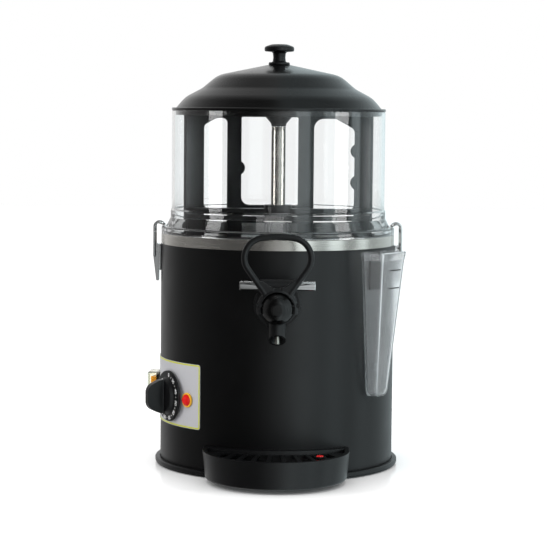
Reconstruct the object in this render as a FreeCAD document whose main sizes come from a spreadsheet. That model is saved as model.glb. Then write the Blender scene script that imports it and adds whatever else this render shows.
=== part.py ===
import FreeCAD, Part
import math
import os
from types import SimpleNamespace
import Sketcher

# Hot chocolate dispenser: a bain-marie body with a clear bowl, a driven mixer and a front tap.
# Millimetres, +Z up. The origin is on the machine's upright axis at counter level.
# The front, with the tap and the drip tray, faces -Y, and azimuths turn from there towards +X.

SIZES = {
    # Clearances
    "running_gap": 0.05,
    "seat_gap": 0.15,
    "free_gap": 0.3,
    # Base ring and feet
    "base_gap": 1.0,
    "base_tier_height": 1.4,
    "base_groove_height": 0.6,
    "base_height": 7.5,
    "base_lip_round": 1.8,
    "base_floor": 4.0,
    "base_rim_wall": 2.0,
    "base_rim_height": 11.0,
    "plate_thickness": 1.5,
    "plate_slot_length": 26.0,
    "plate_slot_width": 5.0,
    "foot_radius": 9.0,
    "foot_recess": 2.6,
    "foot_screw_radius": 2.0,
    "foot_screw_head_radius": 3.5,
    "foot_screw_head_height": 1.6,
    "foot_screw_length": 10.0,
    # Painted shell
    "shell_radius": 134.2,
    "shell_wall": 1.0,
    "shell_top": 254.0,
    "shell_lip": 2.8,
    "vent_radius": 2.0,
    "vent_low": 64.0,
    "vent_pitch": 14.0,
    "vent_azimuth": 82.0,
    "vent_step": 6.0,
    "back_vent_width": 4.0,
    "back_vent_length": 34.0,
    "back_vent_low": 60.0,
    "back_vent_step": 6.0,
    # Water tank
    "band_top": 265.6,
    "band_inset": 0.2,
    "sheet_wall": 1.0,
    "tank_floor": 112.0,
    "tank_round": 8.0,
    # Inner pan
    "pan_wall": 0.8,
    "pan_floor": 178.0,
    "pan_round": 5.0,
    # Gasket and clear bowl
    "gasket_height": 1.8,
    "bowl_flange_top": 273.7,
    "bowl_ring_bottom": 284.0,
    "bowl_ring_top": 292.5,
    "bowl_wall": 3.0,
    "bowl_top": 406.0,
    # Column, riser and drive
    "column_radius": 8.2,
    "column_bore": 6.2,
    "column_bottom": 100.0,
    "column_top": 388.0,
    "column_collar_radius": 15.0,
    "column_collar": 3.0,
    "column_gasket": 1.5,
    "column_nut_radius": 15.0,
    "column_nut_height": 8.0,
    "riser_radius": 15.6,
    "riser_top": 287.4,
    "washer_radius": 16.4,
    "washer_height": 1.0,
    "shaft_radius": 4.0,
    "shaft_insert": 18.0,
    "bush_length": 10.0,
    "hub_waist_radius": 8.3,
    "hub_shoulder_radius": 15.0,
    "hub_shoulder_height": 11.0,
    "hub_neck_radius": 11.0,
    "hub_neck_height": 5.0,
    "hub_top_height": 2.0,
    # Mixer cage
    "mixer_wall": 3.0,
    "mixer_bottom": 186.0,
    "mixer_bar_width": 16.0,
    "mixer_bar": 5.0,
    "mixer_low_bar_z": 289.0,
    "mixer_collar_radius": 16.0,
    "mixer_collar_height": 9.6,
    "window_bottom": 286.0,
    "window_top": 397.0,
    "centre_window_bottom": 293.0,
    "centre_window_left": -44.5,
    "centre_window_right": 24.0,
    "left_window_left": -88.5,
    "left_window_right": -61.5,
    "right_window_left": 43.0,
    "right_window_right": 90.5,
    "window_round": 10.0,
    "window_bump_radius": 9.0,
    "window_bump_inset": 4.6,
    "centre_bump_z": 337.6,
    "high_bump_z": 359.3,
    "low_bump_z": 322.1,
    "low_window_bottom": 204.0,
    "low_window_top": 262.0,
    # Motor
    "motor_radius": 36.0,
    "motor_bottom": 28.0,
    "gearbox_radius": 44.0,
    "gearbox_height": 18.0,
    "motor_top": 88.0,
    "bracket_wall": 2.0,
    "bracket_half": 50.0,
    "bracket_foot": 24.0,
    "bracket_depth": 92.0,
    "motor_screw_ring": 32.0,
    "motor_screw_radius": 2.0,
    # Heater
    "heater_ring": 78.0,
    "heater_radius": 4.0,
    "heater_z": 122.0,
    "heater_leg": 16.0,
    "heater_bottom": 98.0,
    "heater_nut_radius": 8.0,
    "heater_nut_height": 5.0,
    # Lid
    "lid_rim": 3.0,
    "lid_wall": 1.8,
    "lid_skirt_depth": 5.5,
    "lid_skirt_gap": 1.0,
    "lid_crown": 458.5,
    "knob_collar_radius": 12.5,
    "knob_collar": 3.0,
    "knob_stem_radius": 7.3,
    "knob_cap_bottom": 473.0,
    "knob_cap_radius": 17.0,
    "knob_top": 482.0,
    "knob_screw_radius": 2.5,
    "knob_screw_length": 15.0,
    # Tap
    "tap_z": 196.0,
    "pipe_radius": 13.0,
    "pipe_bore": 9.0,
    "collar_radius": 26.0,
    "collar_depth": 8.0,
    "tap_flange_radius": 22.0,
    "tap_flange_depth": 5.0,
    "barrel_radius": 15.0,
    "housing_radius": 17.5,
    "housing_wall": 3.5,
    "boss_radius": 6.3,
    "boss_height": 2.0,
    "spout_radius": 9.2,
    "spout_bore": 6.8,
    "spout_front_z": 167.5,
    "spout_tip_z": 154.0,
    "bonnet_radius": 8.8,
    "bonnet_top": 217.5,
    "bonnet_wall": 2.0,
    "sleeve_radius": 7.5,
    "sleeve_length": 38.5,
    "cross_bar_radius": 5.45,
    "cross_bar_length": 82.0,
    "cross_bar_z": 218.0,
    # Tap lever and valve
    "lever_pivot_z": 200.0,
    "lever_pivot_radius": 2.5,
    "fork_bore": 18.2,
    "fork_radius": 22.4,
    "fork_depth": 8.0,
    "loop_tube_radius": 3.4,
    "loop_foot_half": 13.0,
    "loop_foot_z": 212.0,
    "loop_wide_half": 39.0,
    "loop_wide_z": 248.5,
    "loop_shoulder_half": 28.0,
    "loop_shoulder_z": 270.5,
    "loop_top_z": 273.6,
    "loop_round": 21.0,
    "loop_top_round": 60.0,
    "web_depth": 6.0,
    "web_half": 20.0,
    "web_top": 226.0,
    "web_low": 219.6,
    "web_notch": 8.5,
    "crank_pin_radius": 1.9,
    "crank_arm": 4.0,
    "crank_slack": 0.2,
    "crank_sweep": 1.6,
    "valve_rod_radius": 2.5,
    "valve_head_radius": 5.5,
    "valve_head_top": 204.5,
    "valve_seal_top": 186.5,
    "valve_seal_height": 6.0,
    "valve_seal_radius": 6.7,
    "spring_radius": 5.6,
    "spring_wire": 0.9,
    "spring_turns": 4.6,
    # Controls on the left
    "panel_low": 52.0,
    "panel_high": 124.5,
    "panel_thickness": 0.7,
    "panel_azimuth": -39.0,
    "panel_sweep": 66.0,
    "dial_azimuth": -62.0,
    "dial_z": 84.6,
    "dial_radius": 28.7,
    "dial_skirt": 3.2,
    "dial_boss_radius": 20.0,
    "dial_boss": 6.0,
    "dial_wing_half": 19.5,
    "dial_wing_width": 9.0,
    "dial_wing": 19.0,
    "spindle_radius": 3.0,
    "thermostat_width": 26.0,
    "thermostat_depth": 24.0,
    "thermostat_height": 34.0,
    "thermostat_screw_half": 14.0,
    "lamp_azimuth": -47.2,
    "lamp_z": 83.7,
    "lamp_radius": 7.0,
    "lamp_ring_radius": 8.2,
    "lamp_ring": 2.0,
    "lamp_dome": 3.4,
    "lamp_depth": 16.0,
    "switch_azimuth": -95.0,
    "switch_z": 92.0,
    "switch_width": 29.0,
    "switch_height": 20.0,
    "switch_flange": 2.5,
    "switch_border": 3.0,
    "switch_depth": 18.0,
    "rocker_tilt_gap": 0.8,
    "cover_wall": 1.2,
    # Water level cup on the right
    "cup_azimuth": 53.0,
    "cup_top": 251.0,
    "cup_bottom": 89.0,
    "cup_width": 50.0,
    "cup_depth": 27.0,
    "cup_low_width": 27.0,
    "cup_low_depth": 12.5,
    "cup_wall": 1.8,
    "cup_round": 5.0,
    "cup_band": 8.4,
    "cup_band_step": 1.0,
    "cup_pipe_z": 122.0,
    "cup_pipe_radius": 4.0,
    "cup_pipe_bore": 2.8,
    "bracket_plate_low": 209.0,
    "bracket_plate_high": 243.0,
    "bracket_plate_half": 12.0,
    # Bowl latches
    "latch_azimuth": 90.0,
    "latch_pivot_z": 250.0,
    "latch_pin_radius": 1.5,
    "latch_half": 6.7,
    "latch_round": 3.2,
    "latch_low_z": 210.0,
    "latch_plate_half": 11.0,
    "latch_plate": 1.5,
    "latch_plate_low": 222.0,
    "latch_plate_high": 252.5,
    "latch_ear": 1.2,
    "latch_ear_half": 6.0,
    "wire_radius": 1.5,
    "wire_seat_z": 238.0,
    "wire_half": 10.2,
    "wire_crest_z": 279.5,
    "wire_bend": 4.5,
    # Drip tray
    "tray_radius": 80.7,
    "tray_low_radius": 77.7,
    "tray_top": 35.5,
    "tray_bottom": 5.0,
    "tray_wall": 2.4,
    "tray_floor": 2.4,
    "tray_round": 1.0,
    "tray_low_round": 2.5,
    "grille_thickness": 2.0,
    "grille_recess": 4.0,
    "grille_rim": 5.0,
    "slot_count": 11,
    "slot_angle": 5.3,
    "slot_width": 9.4,
    "slot_wide": 15.0,
    "tab_half": 40.0,
    "tab_width": 12.0,
    "tab_height": 4.0,
    "tab_z": 18.0,
    "tab_reach": 4.0,
    "float_azimuth": 17.6,
    "float_radius": 4.0,
    "float_top": 32.6,
    "float_collar": 2.4,
    # Mains cable gland on the back
    "gland_azimuth": 160.0,
    "gland_z": 34.0,
    "gland_radius": 8.0,
    "gland_hex_radius": 11.0,
    "gland_hex": 5.0,
    "gland_dome": 10.0,
    "gland_bore": 3.6,
}

# Radii and offsets that keep to the painted shell: its radius plus the step given here.
SHELL_STEPS = {
    "base_radius": 5.8,
    "base_tier_radius": 4.6,
    "base_groove_radius": 3.4,
    "base_bore_radius": -26.2,
    "plate_slot_ring": -38.2,
    "foot_ring": -13.2,
    "tank_radius": -7.2,
    "pan_radius": -21.4,
    "pan_rim_radius": -4.2,
    "gasket_inner_radius": -10.4,
    "bowl_flange_radius": -0.2,
    "bowl_skirt_radius": -5.7,
    "bowl_ring_radius": -10.6,
    "bowl_radius": -11.9,
    "mixer_radius": -25.2,
    "lid_radius": -11.5,
    "pipe_end": 12.0,
    "housing_start": 31.8,
    "cap_start": 48.8,
    "dome_start": 52.8,
    "dome_end": 68.8,
    "spout_offset": 39.3,
    "cross_bar_offset": 23.8,
    "lever_pivot_offset": 54.8,
    "dial_back": 2.4,
    "spindle_end": 12.8,
    "cover_top": 14.6,
    "cup_back": 0.4,
    "latch_pivot": 5.3,
    "latch_low_inner": 2.4,
    "latch_low_outer": 5.4,
    "latch_outer": 9.0,
    "wire_seat": 7.3,
    "wire_tip": -3.2,
    "tray_centre": 0.8,
    "slot_start": 6.8,
    "float_ring": 23.7,
}

V = FreeCAD.Vector
doc = FreeCAD.newDocument("HotChocolateDispenser")
sheet = doc.addObject("Spreadsheet::Sheet", "dims")


def text_of(value):
    """Expression text of a size or of a plain number."""
    if isinstance(value, Size):
        return value.text
    return repr(float(value))


class Size(float):
    """A number in millimetres or degrees that carries the expression it comes from."""

    def __new__(cls, value, text):
        size = super().__new__(cls, value)
        size.text = text
        return size

    def __add__(self, other):
        return Size(float(self) + float(other), f"({self.text} + {text_of(other)})")

    def __sub__(self, other):
        return Size(float(self) - float(other), f"({self.text} - {text_of(other)})")

    def __mul__(self, other):
        return Size(float(self) * float(other), f"({self.text} * {text_of(other)})")

    def __truediv__(self, other):
        return Size(float(self) / float(other), f"({self.text} / {text_of(other)})")

    def __radd__(self, other):
        return Size(float(other) + float(self), f"({text_of(other)} + {self.text})")

    def __rsub__(self, other):
        return Size(float(other) - float(self), f"({text_of(other)} - {self.text})")

    def __rmul__(self, other):
        return Size(float(other) * float(self), f"({text_of(other)} * {self.text})")

    def __neg__(self):
        return Size(-float(self), f"(-{self.text})")


def sine(angle):
    """Sine of an angle in degrees."""
    return Size(math.sin(math.radians(angle)), f"sin({text_of(angle)} * 1 deg)")


def cosine(angle):
    """Cosine of an angle in degrees."""
    return Size(math.cos(math.radians(angle)), f"cos({text_of(angle)} * 1 deg)")


def root(value):
    """Square root of a size."""
    return Size(math.sqrt(value), f"sqrt({text_of(value)})")


def fill_sheet():
    """Write every driving dimension into the sheet and return them as sizes."""
    cells = {alias: (value, str(value)) for alias, value in SIZES.items()}
    for alias, step in SHELL_STEPS.items():
        cells[f"{alias}_step"] = (step, str(step))
        cells[alias] = (SIZES["shell_radius"] + step, f"=shell_radius + {alias}_step")
    sizes = {}
    for row, (alias, (value, content)) in enumerate(cells.items(), start=1):
        sheet.set(f"A{row}", alias)
        sheet.set(f"B{row}", content)
        sheet.setAlias(f"B{row}", alias)
        sizes[alias] = Size(value, f"dims.{alias}")
    return SimpleNamespace(**sizes)


d = fill_sheet()
doc.recompute()


# Binding and placing

def bind(thing, prop, value):
    """Set a property and tie it to the sheet."""
    if isinstance(value, Size):
        thing.setExpression(prop, value.text)
    else:
        setattr(thing, prop, value)


def place(thing, x=0.0, y=0.0, z=0.0, yaw=0.0, pitch=0.0, roll=0.0):
    """Tie a placement to the sheet: turned by roll, pitch and yaw, then moved."""
    spot = f"create(<<vector>>; {text_of(x)}; {text_of(y)}; {text_of(z)})"
    turn = f"create(<<rotation>>; {text_of(yaw)}; {text_of(pitch)}; {text_of(roll)})"
    thing.setExpression("Placement", f"create(<<placement>>; {spot}; {turn})")
    return thing


def label(thing, name):
    """Name a finished sub-part."""
    thing.Label = name
    subparts[name] = thing
    return thing


subparts = {}


# Sketches

def pin_point(sketch, geometry, position, u, v):
    """Fix a sketch point at u, v."""
    for kind, value, axis in (("DistanceX", u, -2), ("DistanceY", v, -1)):
        if not isinstance(value, Size) and value == 0:
            sketch.addConstraint(Sketcher.Constraint("PointOnObject", geometry, position, axis))
            continue
        place_name = f"at{sketch.ConstraintCount}"
        number = sketch.addConstraint(
            Sketcher.Constraint(kind, -1, 1, geometry, position, float(value))
        )
        sketch.renameConstraint(number, place_name)
        if isinstance(value, Size):
            sketch.setExpression(f"Constraints.{place_name}", value.text)


def fix_radius(sketch, geometry, radius):
    """Fix the radius of a circle or an arc."""
    name = f"radius{sketch.ConstraintCount}"
    number = sketch.addConstraint(Sketcher.Constraint("Radius", geometry, float(radius)))
    sketch.renameConstraint(number, name)
    if isinstance(radius, Size):
        sketch.setExpression(f"Constraints.{name}", radius.text)


def rounding(before, corner, after, radius):
    """Tangent points, centre and turn of a rounded corner."""
    back = (before - corner).normalize()
    ahead = (after - corner).normalize()
    half = math.acos(max(-1.0, min(1.0, back.dot(ahead)))) / 2
    reach = radius / math.tan(half)
    middle = (back + ahead).normalize()
    centre = corner + middle * (radius / math.sin(half))
    left_turn = back.cross(ahead).z < 0
    return corner + back * reach, corner + ahead * reach, centre, left_turn


def add_outline(sketch, corners):
    """Closed straight-sided loop; a corner given as u, v, r is rounded with radius r."""
    count = len(corners)
    spots = [V(float(c[0]), float(c[1]), 0) for c in corners]
    arcs = {}
    for i, corner in enumerate(corners):
        if len(corner) == 3:
            arcs[i] = rounding(spots[i - 1], spots[i], spots[(i + 1) % count], float(corner[2]))
    sides = []
    for i in range(count):
        after = (i + 1) % count
        start = arcs[i][1] if i in arcs else spots[i]
        end = arcs[after][0] if after in arcs else spots[after]
        sides.append(sketch.addGeometry(Part.LineSegment(start, end), False))
    for i, corner in enumerate(corners):
        side_in, side_out = sides[i - 1], sides[i]
        if i not in arcs:
            sketch.addConstraint(Sketcher.Constraint("Coincident", side_in, 2, side_out, 1))
            pin_point(sketch, side_out, 1, corner[0], corner[1])
            continue
        first, second, centre, left_turn = arcs[i]
        low, high = (first, second) if left_turn else (second, first)
        angles = [math.atan2(p.y - centre.y, p.x - centre.x) for p in (low, high)]
        if angles[1] < angles[0]:
            angles[1] += 2 * math.pi
        circle = Part.Circle(centre, V(0, 0, 1), float(corner[2]))
        arc = sketch.addGeometry(Part.ArcOfCircle(circle, angles[0], angles[1]), False)
        mark = sketch.addGeometry(Part.Point(spots[i]), True)
        pin_point(sketch, mark, 1, corner[0], corner[1])
        sketch.addConstraint(Sketcher.Constraint("PointOnObject", mark, 1, side_in))
        sketch.addConstraint(Sketcher.Constraint("PointOnObject", mark, 1, side_out))
        enter, leave = (1, 2) if left_turn else (2, 1)
        sketch.addConstraint(Sketcher.Constraint("Tangent", side_in, 2, arc, enter))
        sketch.addConstraint(Sketcher.Constraint("Tangent", side_out, 1, arc, leave))
        fix_radius(sketch, arc, corner[2])


def add_circle(sketch, u, v, radius):
    """Circle about u, v."""
    circle = Part.Circle(V(float(u), float(v), 0), V(0, 0, 1), float(radius))
    geometry = sketch.addGeometry(circle, False)
    pin_point(sketch, geometry, 3, u, v)
    fix_radius(sketch, geometry, radius)


def add_bay(sketch, radius, middle, back_radius):
    """Half circle about 0, middle whose sides run straight up to a circle about the origin."""
    r, c, back = float(radius), float(middle), float(back_radius)
    meet = -math.sqrt(back * back - r * r)
    front = Part.Circle(V(0, c, 0), V(0, 0, 1), r)
    below = sketch.addGeometry(Part.ArcOfCircle(front, math.pi, 2 * math.pi), False)
    left = sketch.addGeometry(Part.LineSegment(V(-r, meet, 0), V(-r, c, 0)), False)
    right = sketch.addGeometry(Part.LineSegment(V(r, c, 0), V(r, meet, 0)), False)
    shell = Part.Circle(V(0, 0, 0), V(0, 0, 1), back)
    low, high = (math.atan2(meet, u) + 2 * math.pi for u in (-r, r))
    above = sketch.addGeometry(Part.ArcOfCircle(shell, low, high), False)
    sketch.addConstraint(Sketcher.Constraint("Vertical", left))
    sketch.addConstraint(Sketcher.Constraint("Vertical", right))
    sketch.addConstraint(Sketcher.Constraint("Tangent", left, 2, below, 1))
    sketch.addConstraint(Sketcher.Constraint("Tangent", right, 1, below, 2))
    sketch.addConstraint(Sketcher.Constraint("Coincident", left, 1, above, 1))
    sketch.addConstraint(Sketcher.Constraint("Coincident", right, 2, above, 2))
    pin_point(sketch, below, 3, 0, middle)
    pin_point(sketch, above, 3, 0, 0)
    fix_radius(sketch, below, radius)
    fix_radius(sketch, above, back_radius)


def draw(body, role, loops, offset=None, turn=None):
    """Sketch on one of the body's origin planes, moved along it or turned about Z."""
    sketch = body.newObject("Sketcher::SketchObject", "Sketch")
    plane = [item for item in body.Origin.OriginFeatures if item.Role == role][0]
    sketch.AttachmentSupport = [(plane, "")]
    sketch.MapMode = "FlatFace"
    if turn is not None and float(turn) != 0:
        rotation = FreeCAD.Rotation(V(0, 1, 0), float(turn))
        sketch.AttachmentOffset = FreeCAD.Placement(V(0, 0, 0), rotation)
        if isinstance(turn, Size) and float(turn) > 0:
            sketch.setExpression("AttachmentOffset.Rotation.Angle", turn.text)
    if offset is not None:
        sketch.AttachmentOffset = FreeCAD.Placement(V(0, 0, float(offset)), FreeCAD.Rotation())
        if isinstance(offset, Size):
            sketch.setExpression("AttachmentOffset.Base.z", offset.text)
    for loop in loops:
        if loop[0] == "circle":
            add_circle(sketch, *loop[1:])
        elif loop[0] == "bay":
            add_bay(sketch, *loop[1:])
        else:
            add_outline(sketch, loop)
    sketch.Visibility = False
    return sketch


# Features

def new_body(name):
    """Empty body that becomes a sub-part."""
    return label(doc.addObject("PartDesign::Body", name), name)


def revolve(body, corners, angle=360.0):
    """Turn a profile of r, z corners about the body's Z axis."""
    sketch = draw(body, "XZ_Plane", [corners])
    turned = body.newObject("PartDesign::Revolution", "Turned")
    turned.Profile = sketch
    turned.ReferenceAxis = (sketch, ["V_Axis"])
    bind(turned, "Angle", angle)
    return turned


def pad(body, role, loops, length, offset=None, symmetric=False):
    """Raise a sketch by a length along its plane's normal, or to both sides."""
    raised = body.newObject("PartDesign::Pad", "Pad")
    raised.Profile = draw(body, role, loops, offset)
    bind(raised, "Length", length)
    raised.Midplane = symmetric
    return raised


def pocket(body, role, loops, length, offset=None, turn=None, symmetric=False, ahead=True):
    """Cut a sketch to a depth along its plane's normal."""
    cut = body.newObject("PartDesign::Pocket", "Pocket")
    cut.Profile = draw(body, role, loops, offset, turn)
    bind(cut, "Length", length)
    cut.Midplane = symmetric
    cut.Reversed = ahead and not symmetric
    return cut


def polar(body, features, count, angle=360.0):
    """Repeat features about the body's Z axis."""
    pattern = body.newObject("PartDesign::PolarPattern", "Polar")
    pattern.Originals = features
    axis = [item for item in body.Origin.OriginFeatures if item.Role == "Z_Axis"][0]
    pattern.Axis = (axis, [""])
    bind(pattern, "Angle", angle)
    bind(pattern, "Occurrences", count)
    body.Tip = pattern
    return pattern


def rectangle(left, low, right, high, radius=None):
    """Corners of an upright rectangle, all rounded alike."""
    extra = () if radius is None else (radius,)
    return [
        (left, low, *extra), (right, low, *extra), (right, high, *extra), (left, high, *extra)
    ]


# Primitives and booleans

def cylinder(radius, height, **spot):
    """Cylinder along its own Z axis."""
    thing = doc.addObject("Part::Cylinder", "Cylinder")
    bind(thing, "Radius", radius)
    bind(thing, "Height", height)
    return place(thing, **spot)


def cone(low_radius, high_radius, height, **spot):
    """Cone along its own Z axis."""
    thing = doc.addObject("Part::Cone", "Cone")
    bind(thing, "Radius1", low_radius)
    bind(thing, "Radius2", high_radius)
    bind(thing, "Height", height)
    return place(thing, **spot)


def box(length, width, height, x, y, z):
    """Box with the given lowest corner."""
    thing = doc.addObject("Part::Box", "Box")
    bind(thing, "Length", length)
    bind(thing, "Width", width)
    bind(thing, "Height", height)
    return place(thing, x=x, y=y, z=z)


def hexagon(radius, height, **spot):
    """Hexagonal prism along its own Z axis."""
    thing = doc.addObject("Part::Prism", "Prism")
    thing.Polygon = 6
    bind(thing, "Circumradius", radius)
    bind(thing, "Height", height)
    return place(thing, **spot)


def fuse(*things):
    """One solid out of several."""
    thing = doc.addObject("Part::MultiFuse", "Fuse")
    thing.Shapes = list(things)
    return thing


def cut(base, *tools):
    """Base with the tools taken away."""
    thing = doc.addObject("Part::Cut", "Cut")
    thing.Base = base
    thing.Tool = tools[0] if len(tools) == 1 else fuse(*tools)
    return thing


def common(first, second):
    """What two solids share."""
    thing = doc.addObject("Part::MultiCommon", "Common")
    thing.Shapes = [first, second]
    return thing


def group(name, things):
    """Separate alike solids that make one sub-part."""
    thing = doc.addObject("Part::Compound", name)
    thing.Links = list(things)
    return label(thing, name)


def radial(thing, radius, azimuth, z):
    """Stand a thing on the axis' side: its Z axis points outwards at an azimuth."""
    return place(
        thing,
        x=radius * sine(azimuth),
        y=-(radius * cosine(azimuth)),
        z=z,
        yaw=azimuth,
        roll=90.0,
    )


def bent_edges(points, bends):
    """Straight runs through the points, joined by tangent arcs."""
    edges = []
    start = points[0]
    for i in range(1, len(points) - 1):
        before, corner, after = points[i - 1], points[i], points[i + 1]
        back = (before - corner).normalize()
        ahead = (after - corner).normalize()
        half = math.acos(back.dot(ahead)) / 2
        reach = bends[i - 1] / math.tan(half)
        first = corner + back * reach
        second = corner + ahead * reach
        middle = (back + ahead).normalize()
        centre = corner + middle * (bends[i - 1] / math.sin(half))
        crest = centre - middle * bends[i - 1]
        if (first - start).Length > 1e-6:
            edges.append(Part.LineSegment(start, first).toShape())
        edges.append(Part.Arc(first, crest, second).toShape())
        start = second
    edges.append(Part.LineSegment(start, points[-1]).toShape())
    return edges


def bent_tube(points, bends, radius):
    """Round bar swept along bent runs."""
    edges = bent_edges(points, bends)
    path = Part.Wire(edges)
    direction = (points[1] - points[0]).normalize()
    section = Part.Wire(Part.Circle(points[0], direction, float(radius)).toShape())
    return path.makePipeShell([section], True, False)


def shaped(name, shape):
    """Feature that holds a shape made directly."""
    thing = doc.addObject("Part::Feature", name)
    thing.Shape = shape
    return thing


# Heights and radii that several pieces share
base_floor_top = d.base_gap + d.base_floor
shell_inner = d.shell_radius - d.shell_wall
rim_outer = shell_inner - d.free_gap
plate_top = base_floor_top + d.plate_thickness
band_radius = d.shell_radius - d.band_inset
pan_rim_top = d.band_top + d.pan_wall
gasket_top = pan_rim_top + d.gasket_height
bowl_inner = d.bowl_radius - d.bowl_wall
pan_floor_top = d.pan_floor + d.pan_wall
tank_floor_top = d.tank_floor + d.sheet_wall
collar_bottom = pan_floor_top + d.column_gasket
collar_top = collar_bottom + d.column_collar
column_hole = d.column_radius + d.seat_gap
washer_top = d.riser_top + d.washer_height
hub_bottom = d.column_top + d.free_gap
hub_shoulder = hub_bottom + d.hub_shoulder_height
hub_neck_top = hub_shoulder + d.hub_neck_height
bracket_top = d.motor_top + d.bracket_wall
panel_inner = d.shell_radius + d.seat_gap
panel_outer = panel_inner + d.panel_thickness


def feet_spots(start=45.0, count=4, ring=None):
    """Positions spread evenly about the axis."""
    ring = d.foot_ring if ring is None else ring
    step = 360.0 / count
    return [(ring * cosine(start + step * i), ring * sine(start + step * i)) for i in range(count)]


# Base

def make_base_flange():
    """Moulded ring that the shell stands in, with a grooved lip."""
    body = new_body("base_flange")
    tier_top = d.base_gap + d.base_tier_height
    groove_top = tier_top + d.base_groove_height
    rim_inner = rim_outer - d.base_rim_wall
    revolve(body, [
        (d.base_bore_radius, d.base_gap),
        (d.base_tier_radius, d.base_gap),
        (d.base_tier_radius, tier_top),
        (d.base_groove_radius, tier_top),
        (d.base_groove_radius, groove_top),
        (d.base_radius, groove_top),
        (d.base_radius, d.base_height, d.base_lip_round),
        (d.shell_radius + d.free_gap, d.base_height),
        (d.shell_radius + d.free_gap, base_floor_top),
        (rim_outer, base_floor_top),
        (rim_outer, base_floor_top + d.base_rim_height),
        (rim_inner, base_floor_top + d.base_rim_height),
        (rim_inner, base_floor_top),
        (d.base_bore_radius, base_floor_top),
    ])
    x, y = feet_spots()[0]
    recess = pocket(
        body, "XY_Plane", [("circle", x, y, d.foot_radius + d.seat_gap)],
        d.foot_recess, offset=d.base_gap,
    )
    hole = pocket(
        body, "XY_Plane", [("circle", x, y, d.foot_screw_radius + d.seat_gap)],
        d.base_floor, offset=d.base_gap,
    )
    polar(body, [recess, hole], 4)


def make_base_plate():
    """Steel floor with air slots."""
    body = new_body("base_plate")
    radius = rim_outer - d.base_rim_wall - d.free_gap
    pad(body, "XY_Plane", [("circle", 0, 0, radius)], d.plate_thickness, offset=base_floor_top)
    x, y = feet_spots()[0]
    hole = pocket(
        body, "XY_Plane", [("circle", x, y, d.foot_screw_radius + d.seat_gap)],
        d.plate_thickness, offset=base_floor_top,
    )
    polar(body, [hole], 4)
    half = d.plate_slot_length / 2
    slot = pocket(
        body, "XY_Plane",
        [rectangle(-half, d.plate_slot_ring, half, d.plate_slot_ring + d.plate_slot_width,
                   d.plate_slot_width * 0.4)],
        d.plate_thickness, offset=base_floor_top,
    )
    polar(body, [slot], 8)


def make_feet():
    """Rubber feet in the ring's recesses, each held by a screw from below."""
    feet = []
    screws = []
    head_low = d.foot_recess - d.foot_screw_head_height - d.base_gap
    head_top = head_low + d.foot_screw_head_height
    foot_top = d.base_gap + d.foot_recess
    for x, y in feet_spots():
        pad_solid = cylinder(d.foot_radius, foot_top, x=x, y=y)
        bore = cylinder(d.foot_screw_radius + d.seat_gap, foot_top, x=x, y=y)
        seat = cylinder(d.foot_screw_head_radius + d.seat_gap, head_top, x=x, y=y)
        feet.append(cut(pad_solid, bore, seat))
        head = cylinder(d.foot_screw_head_radius, d.foot_screw_head_height, x=x, y=y, z=head_low)
        shank = cylinder(d.foot_screw_radius, d.foot_screw_length, x=x, y=y, z=head_low)
        screws.append(fuse(head, shank))
    group("rubber_feet", feet)
    group("foot_screws", screws)


# Shell, tank, pan and bowl

def make_body_shell():
    """Painted steel shell with its openings."""
    body = new_body("body_shell")
    lip_inner = shell_inner - d.shell_lip
    revolve(body, [
        (shell_inner, base_floor_top),
        (d.shell_radius, base_floor_top),
        (d.shell_radius, d.shell_top),
        (lip_inner, d.shell_top),
        (lip_inner, d.shell_top - d.shell_wall),
        (shell_inner, d.shell_top - d.shell_wall),
    ])
    reach = d.shell_radius + d.shell_wall * 2
    pocket(body, "XZ_Plane", [("circle", 0, d.tap_z, d.pipe_radius + d.seat_gap)], reach)
    half = d.tab_half
    slots = []
    for side in (-1, 1):
        middle = half * side
        slots.append(rectangle(
            middle - d.tab_width / 2 - d.free_gap, d.tab_z - d.seat_gap,
            middle + d.tab_width / 2 + d.free_gap, d.tab_z + d.tab_height + d.free_gap,
        ))
    pocket(body, "XZ_Plane", slots, reach)
    pocket(
        body, "XZ_Plane", [("circle", 0, d.cup_pipe_z, d.cup_pipe_radius + d.seat_gap)],
        reach, turn=d.cup_azimuth,
    )
    pocket(
        body, "XZ_Plane", [("circle", 0, d.gland_z, d.gland_radius + d.seat_gap)],
        reach, turn=d.gland_azimuth,
    )
    for column in range(3):
        holes = [
            ("circle", 0, d.vent_low + d.vent_pitch * (row + 0.5 * (column % 2)), d.vent_radius)
            for row in range(4)
        ]
        pocket(body, "XZ_Plane", holes, reach, turn=d.vent_azimuth + d.vent_step * column)
    for step in range(-2, 3):
        slot = rectangle(
            -(d.back_vent_width / 2), d.back_vent_low,
            d.back_vent_width / 2, d.back_vent_low + d.back_vent_length,
            d.back_vent_width * 0.4,
        )
        pocket(body, "XZ_Plane", [slot], reach, turn=180.0 + d.back_vent_step * step)
    holes = [
        radial(cylinder(d.spindle_radius * 2, reach), 0.0, d.dial_azimuth, d.dial_z),
        radial(cylinder(lamp_body_radius + d.seat_gap, reach), 0.0, d.lamp_azimuth, d.lamp_z),
        switch_opening(reach),
    ]
    for side in (-1, 1):
        holes.append(screw_hole(side, reach))
    body.Label = "body_shell_turned"
    label(cut(body, *holes), "body_shell")


lamp_body_radius = d.lamp_radius - 1.0


def switch_opening(reach):
    """Cutting block for the switch, pointing out at its azimuth."""
    wide = d.switch_width - d.switch_border * 2 + d.seat_gap * 2
    tall = d.switch_height - d.switch_border * 2 + d.seat_gap * 2
    block = doc.addObject("Part::Box", "SwitchOpening")
    bind(block, "Length", wide)
    bind(block, "Width", tall)
    bind(block, "Height", reach)
    return place(
        block,
        x=-(wide / 2) * cosine(d.switch_azimuth),
        y=-(wide / 2) * sine(d.switch_azimuth),
        z=d.switch_z - tall / 2,
        yaw=d.switch_azimuth,
        roll=90.0,
    )


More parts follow.
